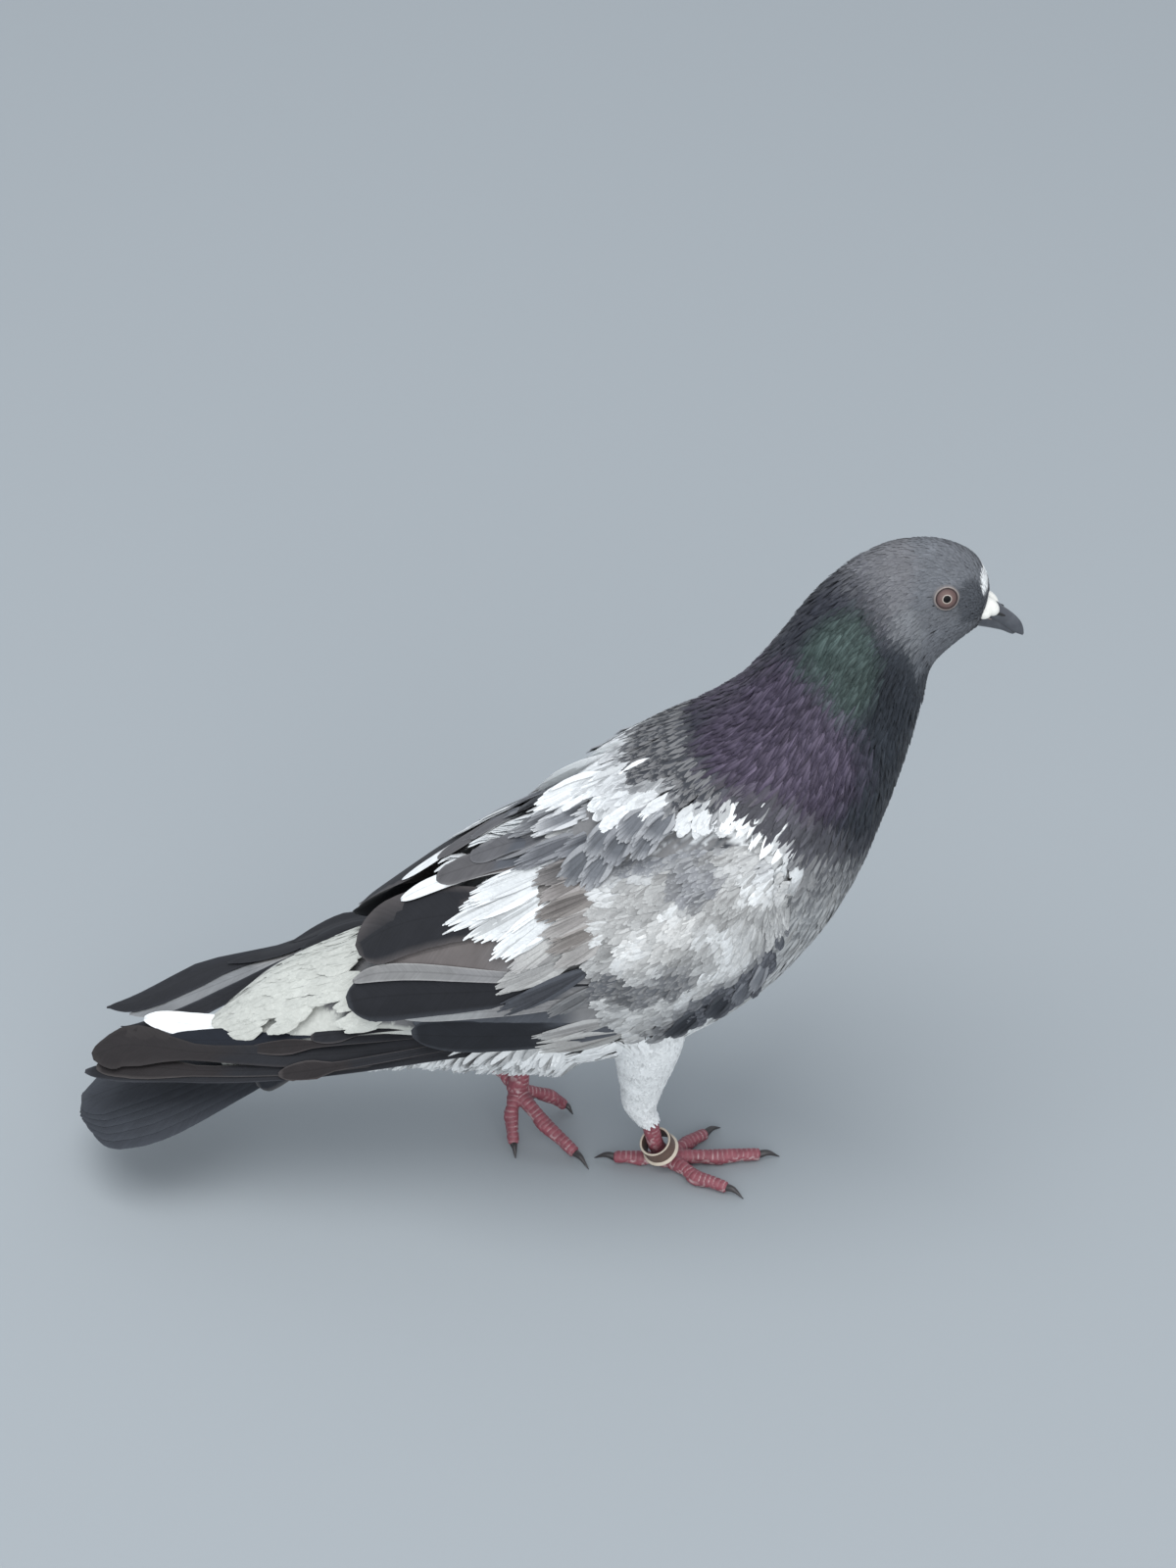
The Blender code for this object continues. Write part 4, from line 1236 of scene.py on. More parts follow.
def build_coverts(side, finish):
    """The small feathers of one wing's shield, and the softer ones over their ends."""
    name = side_name(side)
    surface = wing_surface(side)
    coverts = Plumage(f"wing_coverts_{name}", SLIVER_ROWS)
    gap_along, gap_across, length, width = by_place(
        (0, 2, 5), (2.4, 3.2, 4.6), (2.2, 3.0, 4.2), (7.0, 9.5, 14.0), (4.2, 5.8, 9.0)
    )
    along, across = rows_of_roots(0.0, 4.95, gap_along, gap_across, surface, (0.02, 0.99))
    keep = along < blended(*COVERT_END, smoothly(across, 0.35, 0.9))
    along, across = along[keep], across[keep]
    fall = (12 + 46 * np.clip(1 - along / 4.0, 0, 1)) * smoothly(across, 0.05, 0.4)
    wave = mottle(surface(along, across), 12.0, 6) - 0.5

    def flecks(p, q, vane, edge):
        points = surface(p, q)
        dark = (smoothly(mottle(points, 6.0, 31), 0.52, 0.76) * 0.6)[:, None]
        light = (smoothly(mottle(points, 7.0, 32), 0.45, 0.8) * 0.7)[:, None]
        vane = blended(vane, 0.55 * vane, dark)
        vane = blended(vane, SADDLE, light * (1 - dark) * smoothly(vane.mean(1), 0.15, 0.3)[:, None])
        return vane, edge * (1 - 0.35 * dark)

    lay_fans(
        coverts, surface, (along, across), length(along) * (0.55 + 0.45 * smoothly(across, 0.05, 0.3)),
        width(along), (-0.5, 0.18), wing_colours, 21, heading=-np.radians(fall) + 0.35 * wave, spread=0.3,
        flecks=flecks, loose=0.14, streaks=0.25, fringe=0.16,
    )
    coverts.build(finish, "wing_plumage")
    over = Plumage(f"greater_coverts_{name}", TUFT_ROWS)
    lay_tufts(over, surface, TUFTS, 22, streaks=0.2)
    lay_tufts(over, surface, SLIT_TUFTS, 23, fullness=1.2, streaks=0.35)
    lay_tufts(over, surface, UPPER_TUFTS, 24, streaks=0.3)
    shoulder = [
        ((p, side * q), (far_p, side * far_q), *rest) for (p, q), (far_p, far_q), *rest in SHOULDER_TUFTS
    ]
    lay_tufts(over, body_surface, shoulder, 25, streaks=0.3)
    over.build(finish, "wing_plumage")


LONG_ROWS = tuple(np.concatenate([np.linspace(0, 0.8, 15), np.linspace(0.83, 1.0, 10)]))


def add_long_feather(plumage, surface, inside, row, number, edge_width=0.16, edge=0.45, **outline):
    """One large feather between two places of a surface, from its row of a table."""
    root, tip, half, base, end, meeting, fringe, lift, tilt = row
    sunk = -1.0  # the root's lift, under the feathers over it
    t = plumage.shares
    local = np.random.default_rng(900 + number)
    p, q = (start + (stop - start) * t for start, stop in zip(root, tip))
    rise = sunk + (lift - sunk) * smoothly(t, 0.15, 0.5)
    halves = half * rounded_vane(t, **outline) * (1 - 0.03 * local.random(len(t)))
    points = plumage.wrap(surface, inside, p, q, halves, rise, tilt)
    sides = np.abs(plumage.across)
    jag = 0.10 * mottle(points, 2.0, number) + 0.12 * mottle(points, 7.0, number) - 0.11
    split = smoothly(t[None, :, None] + jag - 0.04 * sides, meeting - 0.05, meeting + 0.05)
    tint = blended(base, end, split[..., None])
    rim = np.maximum(smoothly(sides, 1 - edge_width, 1.0)[None, :], smoothly(t, 0.96, 1.0)[:, None])
    tint = tint + (fringe - tint) * edge * rim[None, ..., None]
    grain = mottle(points, 3.0, number + 5)[..., None] - 0.5
    plumage.add(points, tint * (1 + 0.25 * grain), 0.0, coat_places(points[:, 0, 0]))


def above(side):
    """A middle that a folded blade's outer face looks away from."""
    return lambda points: points - np.array((0.0, side * 10.0, 10.0))


def build_quills(name, surface, inside, table, finish, slot, nodes=(), **shape):
    """A fan of large feathers from a table, lowest first."""
    plumage = Plumage(name, LONG_ROWS, 9, strips=len(table))
    for number, row in enumerate(table):
        add_long_feather(plumage, surface, inside, row, number, **shape)
    made = plumage.build(finish, slot)
    if nodes:
        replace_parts(made, *nodes)


# Large feathers, lowest first: root and tip (section, share of the height), half width, colours at the base
# and end, where these meet, the fringe's colour, how far the feather stands off, and how far its lower side
# is raised over the next.
SECONDARIES = (
    ((2.8, 0.26), (7.1, 0.25), 12.0, GREY, SLATE, 0.5, SLATE, -0.2, 0.3),
    ((3.0, 0.60), (7.6, 0.62), 16.0, GREY, UMBER, 0.5, UMBER, -0.2, 0.3),
    ((3.2, 0.14), (7.15, 0.15), 8.0, SLATE, srgb(28, 30, 35), 0.45, SLATE, 0.30, 0.35),
    ((3.6, 0.30), (7.35, 0.27), 2.6, GREY, srgb(138, 140, 141), 0.60, GRIZZLE, 0.45, 0.3),
    ((3.7, 0.34), (8.85, 0.44), 8.6, BLACK, BLACK, 0.5, SLATE, 0.50, 0.35),
    ((3.9, 0.33), (8.55, 0.64), 2.8, GREY, srgb(118, 118, 118), 0.5, GRIZZLE, 0.85, 0.35),
    ((4.3, 0.62), (8.35, 0.90), 12.0, UMBER, BLACK, 0.34, UMBER, 0.85, 0.45),
    ((4.6, 0.84), (7.25, 0.965), 3.4, UMBER, SADDLE, 0.66, SADDLE, 1.0, 0.35),
    ((4.9, 0.88), (6.55, 0.955), 5.2, SLATE, srgb(82, 81, 83), 0.45, srgb(116, 115, 115), 1.15, 0.35),
    ((4.9, 0.94), (6.0, 0.97), 4.6, SLATE, srgb(88, 88, 91), 0.5, srgb(118, 119, 121), 1.3, 0.3),
)
# Soft feathers over the roots of the large ones, lowest first: root and tip, width, colours of the vane and
# of its fringe, and how far the feather stands off. SLIT_TUFTS are the pale ones farther up, and UPPER_TUFTS
# those on the shield's upper half and over its upper edge.
TUFTS = (
    ((1.5, 0.12), (2.3, 0.06), 9, srgb(102, 105, 110), srgb(128, 130, 134), 0.8),
    ((2.0, 0.11), (2.8, 0.05), 9, srgb(84, 87, 93), srgb(110, 113, 118), 0.8),
    ((2.5, 0.11), (3.35, 0.05), 11, srgb(44, 47, 53), srgb(70, 73, 78), 0.8),
    ((3.0, 0.11), (3.9, 0.04), 11, srgb(38, 41, 47), srgb(62, 65, 70), 0.8),
    ((4.3, 0.10), (5.42, 0.075), 15, srgb(150, 149, 147), srgb(172, 172, 170), 0.85),
    ((4.3, 0.18), (5.45, 0.13), 13, srgb(146, 145, 144), srgb(166, 166, 165), 0.9),
    ((4.6, 0.50), (5.62, 0.40), 14, srgb(150, 150, 149), PALE, 0.85),
    ((4.4, 0.44), (5.66, 0.29), 10, srgb(60, 62, 67), SLATE, 0.95),
    ((4.3, 0.36), (5.2, 0.24), 9, srgb(96, 97, 99), srgb(124, 125, 126), 1.0),
)
SLIT_TUFTS = (
    ((4.5, 0.62), (5.45, 0.46), 14, PALE, GRIZZLE, 1.0),
    ((4.5, 0.72), (5.65, 0.52), 15, srgb(200, 203, 204), SADDLE, 1.1),
    ((4.6, 0.78), (6.02, 0.60), 16, srgb(196, 199, 200), SADDLE, 1.2),
    ((4.6, 0.82), (6.24, 0.70), 17, srgb(198, 201, 202), SADDLE, 1.3),
    ((4.6, 0.85), (6.15, 0.78), 14, srgb(200, 203, 204), SADDLE, 1.4),
)
UPPER_TUFTS = (
    ((4.2, 0.55), (4.86, 0.46), 9, srgb(142, 140, 138), srgb(160, 158, 156), 1.0),
    ((4.2, 0.60), (4.96, 0.52), 9, srgb(112, 108, 105), srgb(138, 134, 131), 1.05),
    ((4.2, 0.66), (4.92, 0.59), 9, srgb(134, 131, 129), srgb(156, 154, 152), 1.1),
    ((4.2, 0.72), (5.04, 0.65), 10, srgb(98, 94, 92), srgb(124, 120, 117), 1.2),
    ((4.2, 0.79), (5.02, 0.72), 10, srgb(112, 108, 106), srgb(146, 142, 140), 1.25),
    ((4.2, 0.84), (5.10, 0.78), 11, srgb(90, 88, 88), srgb(122, 119, 118), 1.3),
    ((4.7, 0.95), (5.95, 0.93), 12, srgb(84, 85, 89), srgb(120, 121, 124), 1.4),
    ((4.3, 0.92), (5.30, 0.86), 13, srgb(88, 90, 95), srgb(128, 130, 134), 1.5),
    ((3.9, 0.92), (4.80, 0.85), 13, srgb(88, 91, 97), srgb(130, 132, 136), 1.6),
    ((3.5, 0.92), (4.35, 0.84), 13, srgb(88, 91, 97), srgb(130, 132, 136), 1.6),
    ((3.1, 0.92), (3.90, 0.84), 12, srgb(92, 95, 101), srgb(134, 136, 140), 1.6),
    ((2.7, 0.94), (3.45, 0.86), 12, srgb(104, 107, 112), srgb(142, 144, 148), 1.6),
    ((3.3, 0.97), (4.05, 0.88), 13, srgb(100, 103, 108), srgb(146, 148, 151), 1.8),
    ((2.9, 0.98), (3.65, 0.89), 13, srgb(104, 107, 112), srgb(148, 150, 153), 1.8),
    ((2.5, 1.0), (3.25, 0.91), 13, srgb(108, 111, 116), srgb(152, 154, 157), 1.8),
    ((4.5, 1.02), (5.55, 0.98), 12, srgb(92, 94, 98), srgb(136, 138, 141), 1.8),
    ((4.1, 1.02), (5.05, 0.975), 12, srgb(122, 125, 130), srgb(196, 198, 200), 1.8),
    ((3.7, 1.02), (4.60, 0.97), 12, srgb(126, 129, 134), srgb(196, 198, 200), 1.8),
    ((3.3, 1.02), (4.15, 0.97), 12, srgb(134, 137, 141), srgb(200, 202, 204), 1.8),
    ((4.2, 1.10), (5.10, 1.06), 12, SADDLE, SADDLE, 2.2),
    ((3.7, 1.09), (4.60, 1.05), 13, SADDLE, SADDLE, 2.2),
    ((3.4, 1.10), (4.15, 1.06), 12, SADDLE, WHITE, 2.2),
)
# Soft feathers on the body over the wing's upper edge: ring and angle of the root and of the tip, and the
# rest as above.
SHOULDER_TUFTS = (
    ((14.0, 0.58), (14.8, 0.66), 12, srgb(120, 123, 127), srgb(176, 178, 180), 1.0),
    ((13.8, 0.68), (14.5, 0.76), 12, srgb(104, 107, 112), srgb(150, 152, 155), 1.0),
    ((13.4, 0.60), (14.15, 0.69), 13, srgb(96, 99, 104), srgb(146, 148, 151), 1.2),
    ((13.2, 0.70), (13.9, 0.79), 12, srgb(104, 107, 112), srgb(152, 154, 157), 1.2),
    ((12.9, 0.55), (13.6, 0.64), 13, srgb(100, 103, 108), srgb(150, 152, 155), 1.4),
    ((12.7, 0.66), (13.4, 0.76), 13, srgb(92, 95, 100), srgb(142, 144, 148), 1.4),
    ((12.4, 0.78), (13.1, 0.88), 12, srgb(104, 107, 112), srgb(152, 154, 157), 1.4),
    ((12.3, 0.62), (13.0, 0.71), 12, srgb(104, 107, 112), srgb(156, 158, 161), 1.6),
    ((12.0, 0.74), (12.7, 0.84), 12, srgb(100, 103, 108), srgb(152, 154, 157), 1.6),
)
PRIMARY_QUILLS_RIGHT = (
    ((0.0, 0.10), (5.2, 0.25), 4.0, BLACK, BLACK, 0.5, SLATE, 0.0, 0.1),
    ((0.0, 0.20), (4.9, 0.42), 5.6, BLACK, BROWN, 0.5, srgb(96, 92, 90), 0.3, 0.1),
    ((0.0, 1.02), (3.85, 1.42), 6.0, SADDLE, WHITE, 0.5, WHITE, 1.2, 0.0),
    ((0.0, 1.02), (3.5, 0.98), 5.2, NAVY, NAVY, 0.5, NAVY, 1.5, -0.9),
    ((0.0, 0.34), (5.0, 0.88), 9.4, BLACK, BROWN, 0.5, srgb(60, 57, 56), 1.9, 0.15),
    ((0.0, 0.30), (1.95, 0.16), 3.4, BLACK, BROWN, 0.5, UMBER, 1.4, 0.15),
    ((0.0, 0.62), (2.35, 0.74), 3.2, BLACK, BROWN, 0.5, UMBER, 1.6, 0.15),
    ((0.0, 0.80), (1.5, 0.84), 3.2, BLACK, BLACK, 0.5, UMBER, 1.9, 0.15),
)
PRIMARY_QUILLS_LEFT = (
    ((0.0, 0.40), (4.25, 0.58), 7.5, GRIZZLE, srgb(118, 120, 122), 0.5, GRIZZLE, 0.0, 0.1),
    ((0.0, 0.45), (4.45, 1.08), 3.8, BLACK, BLACK, 0.5, SLATE, 0.3, 0.1),
    ((0.0, -0.10), (5.0, 0.30), 6.8, BLACK, BLACK, 0.5, INK, 0.6, 0.1),
    ((0.0, 0.70), (2.4, 0.90), 4.6, INK, GREY, 0.8, GREY, 1.0, 0.1),
    ((0.0, 0.26), (2.75, 0.16), 6.0, BLACK, BLACK, 0.5, INK, 1.3, 0.1),
    ((0.0, 0.10), (1.95, -0.02), 6.0, BLACK, BLACK, 0.5, BLACK, 1.6, 0.1),
    ((0.0, 0.55), (1.7, 0.60), 5.0, BLACK, BLACK, 0.5, SLATE, 1.7, 0.1),
)


def tail_table():
    """Twelve tail feathers, the middle pair on top, and the upper coverts over their roots."""
    order = sorted(range(12), key=lambda number: -abs(number - 5.5))
    rows = []
    for rank, number in enumerate(order):
        across = (number - 5.5) / 5.5
        white = across > 0.4
        outmost = across > 0.9
        reach = 1.0 - 0.05 * abs(across) ** 3 - 0.12 * outmost
        rows.append((
            (0.0, across * 0.45), (reach, across * (1.05 if outmost else 0.80)), 8.4,
            WHITE if white else INK, INK, 0.80 if white else 0.4, srgb(62, 66, 72), 0.10 * rank - 0.9,
            -0.2 if across > 0 else 0.2,
        ))
    for number in range(7):
        across = (number - 3) / 3
        white = across > -0.4
        rows.append((
            (0.0, across * 0.55), (0.40 - 0.05 * abs(across), across * 0.72), 6.0,
            WHITE if white else GREY, CREAM if white else INK, 0.5, WHITE if white else GREY,
            1.0 - 0.25 * abs(across), 0.0,
        ))
    return rows


# ---------------------------------------------------------------- thighs


def build_thigh(side, stations, finish):
    """The feathered shank of one leg, from the flank to the bare foot."""
    surface = tube_surface(stations)
    middle = read_curve(stations, np.linspace(0, len(stations) - 1, 40))[:, :3]
    plumage = Plumage(f"thigh_feathers_{side_name(side)}", SLIVER_ROWS)
    last = len(stations) - 1
    gap_along, gap_across, length = by_place((0, last), (2.8, 2.8), (2.6, 2.6), (11, 6.5))
    roots = rows_of_roots(-0.5, last - 0.9, gap_along, gap_across, surface, ALL_ROUND)
    length = length(roots[0])

    def nearest_middle(points):
        gaps = np.linalg.norm(points[..., None, :] - middle, axis=-1)
        return middle[gaps.argmin(-1)]

    def white(p, q, seed):
        shade = mottle(surface(p, q), 6.0, seed)[:, None]
        return WHITE * (0.82 + 0.18 * shade), WHITE * np.ones((len(p), 1))

    lay_fans(
        plumage, surface, roots, length, 0.5 * length, (-0.7, 0.3), white, 33, spread=0.5, fleck=0.2,
        slivers=7, loose=0.5, streaks=0.2, inside=nearest_middle,
    )
    plumage.build(finish, "body_plumage")


# ---------------------------------------------------------------- eyes and bill


# The eye's profile from its opening to the middle of the pupil, as radius and height over the ball's middle,
# and the lids' profile round it.
EYE_PROFILE = (
    (2.6, 1.0), (4.3, 1.2), (4.2, 2.0), (3.75, 2.7), (3.3, 3.2), (2.9, 3.5), (2.3, 3.72), (1.6, 3.86),
    (0.8, 3.94),
)
EYE_AXIS = np.array((0.12, -0.96, 0.24))
LID_PROFILE = (
    (4.2, 1.0), (3.5, 1.4), (3.3, 2.6), (3.3, 3.15), (3.42, 3.38), (3.62, 3.4), (3.85, 3.2), (4.1, 2.85),
    (4.4, 2.2), (4.6, 1.5),
)
LID_TINTS = (
    # distance from the eye's axis, colour
    (3.3, srgb(50, 43, 43)),
    (3.5, srgb(92, 82, 80)),
    (3.72, srgb(142, 133, 128)),
    (3.95, srgb(104, 102, 104)),
    (4.6, srgb(98, 100, 104)),
)


def turned_rings(profile, centre, axis, points, wobble=0.0, seed=0):
    """Rings of points round an axis from a profile of radii and heights."""
    axis = unit(np.asarray(axis, float))
    side = unit(np.cross(axis, (0.0, 0.0, 1.0)))
    up = np.cross(side, axis)
    turn = np.linspace(0, 2 * np.pi, points, endpoint=False)
    local = np.random.default_rng(seed)
    rings = []
    for radius, height in profile:
        reach = radius * (1 + wobble * (local.random(points) - 0.5))
        out = side * (reach * np.cos(turn))[:, None] + up * (reach * np.sin(turn))[:, None]
        rings.append(np.asarray(centre) + axis * height + out)
    return rings


def mesh_from(bm, name):
    mesh = bpy.data.meshes.new(name)
    bm.to_mesh(mesh)
    bm.free()
    return mesh


def place_points(mesh):
    """A mesh's points in the tables' millimetres."""
    co = np.zeros(len(mesh.vertices) * 3, np.float32)
    mesh.vertices.foreach_get("co", co)
    return co.reshape(-1, 3).astype(float) / MM - SHIFT


def build_eye(side, finish, lid_finish):
    """One eyeball, flat over the iris as a real one is, and the bare lids round it."""
    name = side_name(side)
    flip = np.array((1.0, -side, 1.0))
    centre, axis = EYE * flip, EYE_AXIS * flip
    mesh = mesh_from(loft(turned_rings(EYE_PROFILE, centre, axis, 48)), f"eyeball_{name}")
    offset = place_points(mesh) - centre
    across = unit(np.cross(axis, (0.0, 0.0, 1.0)))
    up = np.cross(across, unit(axis))
    store_map(mesh, "Iris", np.stack([offset @ across, offset @ up], -1)[corners(mesh)])
    ball = finished(f"eyeball_{name}", mesh, finish)
    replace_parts(ball, f"eye_{name}")
    bm = loft(turned_rings(LID_PROFILE, centre, axis, 56, wobble=0.035, seed=3), closed=True)
    bmesh.ops.subdivide_edges(bm, edges=bm.edges, cuts=1, use_grid_fill=True, smooth=0.6)
    mesh = mesh_from(bm, f"eyelids_{name}")
    away = np.linalg.norm(np.cross(place_points(mesh) - centre, unit(axis)), axis=-1)
    radii, tints = zip(*LID_TINTS)
    paint_points(mesh, np.stack([np.interp(away, radii, channel) for channel in zip(*tints)], -1))
    finished(f"eyelids_{name}", mesh, lid_finish)


# Stations down the bill: the ridge, the line of the mouth and the underside (x, z), and half the width there.
BILL_STATIONS = (
    (90.0, 231.6, 88.0, 227.6, 88.0, 220.8, 4.4),
    (93.0, 230.8, 91.0, 226.7, 91.0, 220.5, 4.0),
    (95.8, 229.2, 93.9, 225.3, 93.6, 220.0, 3.4),
    (98.5, 226.9, 96.7, 223.4, 96.2, 219.4, 2.8),
    (100.6, 225.3, 98.9, 221.6, 98.6, 218.8, 2.45),
    (102.6, 223.5, 101.0, 219.8, 100.6, 217.8, 2.05),
    (104.2, 221.5, 102.7, 218.3, 102.2, 217.2, 1.5),
    (105.1, 219.2, 104.1, 217.3, 103.6, 216.8, 0.9),
    (105.4, 217.2, 105.0, 216.6, 104.9, 216.4, 0.35),
)


def bill_rings(upper, last):
    """Rings down one half of the bill, as far as its last station."""
    count = 26
    rows = read_curve(BILL_STATIONS, np.linspace(0, last, count))
    sine, cosine = (wave(np.linspace(0, 2 * np.pi, 24, endpoint=False)) for wave in (np.sin, np.cos))
    height = np.where(sine > 0, np.abs(sine) ** 0.9, -0.05 * np.abs(sine))
    closing = np.ones(count) if upper else 1 - 0.9 * smoothly(np.arange(count) / (count - 1), 0.86, 1.0)
    rings = []
    for row, share in zip(rows, closing):
        ridge, mouth, under = row[0:2], row[2:4], row[4:6]
        reach = (ridge if upper else under) - mouth
        spot = mouth + reach / max(np.linalg.norm(reach), 0.1) * 0.14 + height[:, None] * reach * share
        width = row[6] * (1.0 if upper else 0.84) * share
        rings.append(np.stack([spot[:, 0], width * cosine, spot[:, 1]], -1))
    return rings


CERE = np.array((92.6, 0.0, 228.8))
# Each side of the cere: middle, radii along, across and up, and the pitch forwards in degrees.
CERE_SWELLINGS = (
    ((93.2, 1.8, 228.9), (4.5, 2.9, 2.7), 38),
    ((91.2, 4.2, 227.9), (3.2, 1.9, 2.1), 18),
)
# The nostril slit: a flat near-black ball on the bill, painted shade of the opening.
NOSTRIL = ((97.3, 2.75, 226.2), (1.8, 0.45, 0.4), 18)
MOUTH_CORNER = np.array(((88.0, 4.4, 228.2), (91.5, 4.05, 226.5), (94.6, 3.5, 224.8)))


def swelling(bm, middle, radii, pitch, side):
    """Adds a turned, stretched ball on one side."""
    where = Matrix.Translation(Vector((np.array(middle) * (1, side, 1) + SHIFT) * MM))
    where = where @ Matrix.Rotation(math.radians(pitch), 4, "Y")
    where = where @ Matrix.Diagonal((*(np.array(radii) * MM), 1.0))
    bmesh.ops.create_uvsphere(bm, u_segments=24, v_segments=14, radius=1.0, matrix=where)


def build_bill(finish, cere_finish, slit_shade_finish, gape_finish):
    """The hooked bill with its cere, near-black nostril slits that are painted shade, and the pale corners of
    the mouth.
    """
    for name, node, rings in (
        ("bill_ridge", "bill_upper", bill_rings(True, 8)),
        ("bill_under", "bill_lower", bill_rings(False, 6.6)),
    ):
        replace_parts(finished(name, mesh_from(loft(rings), name), finish), node)
    lobes, slit_shade_blobs = bmesh.new(), bmesh.new()
    for side in (1, -1):
        for middle, radii, pitch in CERE_SWELLINGS:
            swelling(lobes, middle, radii, pitch, side)
        swelling(slit_shade_blobs, *NOSTRIL, side)
    cere = finished("cere_lobes", remeshed(lobes, 0.00028, smoothing=3), cere_finish)
    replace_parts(cere, "cere")
    finished("nostril_slit_shade", mesh_from(slit_shade_blobs, "nostril_slit_shade"), slit_shade_finish)
    for side in (-1, 1):
        corner = limb(MOUTH_CORNER * (1, side, 1), (0.2, 0.35, 0.15), 10, 10)
        finished(f"mouth_corner_{side_name(side)}", mesh_from(corner, "corner"), gape_finish)


# ---------------------------------------------------------------- feet


TARSUS_RIGHT = (
    (-10.6, -10.5, 27, 2.6), (-9.9, -10.3, 23, 2.9), (-8, -10, 14, 2.7), (-6.8, -9.4, 9.4, 2.8),
    (-4.8, -8.8, 5.6, 3.4), (-3.4, -8.5, 3.0, 3.4), (-2.8, -8.4, 2.4, 2.4),
)
TARSUS_LEFT = (
    (-51.8, 13.9, 43, 2.9), (-52, 13.7, 40, 3.1), (-52.8, 13.2, 33, 2.8), (-53.6, 12.8, 26, 2.9),
    (-54.6, 12.3, 20.6, 3.7), (-55.2, 12, 17.4, 3.8), (-55.4, 11.6, 15.4, 2.6),
)
# Toes: root, middle joint, end and the claw's tip, with the radius at root and end.
TOES_RIGHT = (
    ((-5.6, -8.2, 2.9), (-12.4, -7.6, 2.6), (-21.0, -6.8, 2.4), (-28.4, -5.2, 0.5), 2.7, 2.2),
    ((-1.6, -6.6, 3.0), (3.6, -0.4, 2.7), (9.8, 4.8, 2.4), (15.6, 10.2, 0.5), 2.8, 2.1),
    ((-0.2, -7.8, 3.1), (14.5, -7.2, 2.7), (28.2, -5.6, 2.5), (35.6, -4.6, 0.5), 2.9, 2.2),
    ((-1.2, -9.8, 3.0), (6.4, -17.6, 2.7), (16.4, -22.0, 2.4), (22.4, -25.8, 0.5), 2.9, 2.1),
)
TOES_LEFT = (
    ((-57.6, 13.9, 19.0), (-62.0, 17.2, 22.0), (-67.0, 21.2, 25.6), (-73.0, 25.6, 26.0), 2.4, 1.9),
    ((-56.0, 10.4, 15.0), (-57.2, 5.6, 10.6), (-56.4, 0.2, 2.8), (-55.6, -5.6, 0.5), 2.7, 2.1),
    ((-53.8, 10.6, 15.0), (-45.6, 3.2, 8.4), (-35.4, -4.6, 2.7), (-30.4, -11.0, 0.5), 2.9, 2.2),
    ((-53.2, 12.8, 15.4), (-44.2, 16.4, 9.8), (-39.2, 19.8, 2.8), (-35.8, 17.0, 0.5), 2.6, 2.0),
)
TOE_NAMES = ("hallux", "inner", "middle", "outer")
SCUTE = 1.7  # length of one scale along a toe
SCUTE_HEIGHT = 0.26
TOE_SHIFT = 3.1  # how far each toe's scales are moved along from the last one's


def limb(line, radii, points, steps):
    """A closed tube along a curved line, with a radius at each of its points."""
    line = np.asarray(line, float)
    at = np.linspace(0, len(line) - 1, steps)
    centres = read_curve(line, at)
    reach = np.maximum(np.interp(at, range(len(line)), radii), 0.05)
    side = unit(np.cross(unit(np.gradient(centres, axis=0)), (0.13, 0.21, 0.97)))
    up = np.cross(side, unit(np.gradient(centres, axis=0)))
    turn = np.linspace(0, 2 * np.pi, points, endpoint=False)[:, None]
    return loft([
        centre + radius * (np.cos(turn) * one + np.sin(turn) * two)
        for centre, radius, one, two in zip(centres, reach, side, up)
    ])


def build_foot(name, tarsus, toes, finish, claw_finish):
    """One scaly foot as a single skin, with its four claws."""
    tarsus = np.array(tarsus)
    parts = [limb(tarsus[:, :3], tarsus[:, 3], 20, 40)]
    lines = [read_curve(tarsus[:, :3], np.linspace(0, len(tarsus) - 1, 60))]
    raised = (0, 0, 0.3)
    for root, joint, end, _, thick, thin in toes:
        root, joint, end = (np.array(spot) for spot in (root, joint, end))
        line = [root, (root + joint) / 2 + raised, joint, (joint + end) / 2 + raised, end]
        middle, ahead = (thick + thin) / 2, unit(end - joint)
        parts.append(limb(line, (thick, middle * 0.9, middle * 1.08, middle * 0.86, thin * 0.95), 18, 30))
        parts.append(limb([end - ahead, end, end + 0.9 * ahead], (1.2, thin, 0.9), 16, 9))
        lines.append(read_curve(np.array(line), np.linspace(0, 4, 50)))
    mesh = remeshed(joined(parts), 0.00042, smoothing=3)
    scale_feet(mesh, lines)
    foot = finished(f"foot_{name}", mesh, finish)
    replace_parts(foot, f"tarsus_{name}", *(f"toe_{toe}_{name}" for toe in TOE_NAMES))
    for toe, (_, joint, end, tip, _, _) in zip(TOE_NAMES, toes):
        joint, end, tip = (np.array(spot) for spot in (joint, end, tip))
        start = end + 0.2 * unit(end - joint)
        horn = limb([start, start + (tip - start) * 0.45 + (0, 0, 1.2), tip], (1.45, 1.0, 0.12), 14, 14)
        claw = finished(f"claw_{toe}_{name}_horn", mesh_from(horn, "claw"), claw_finish)
        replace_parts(claw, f"claw_{toe}_{name}")


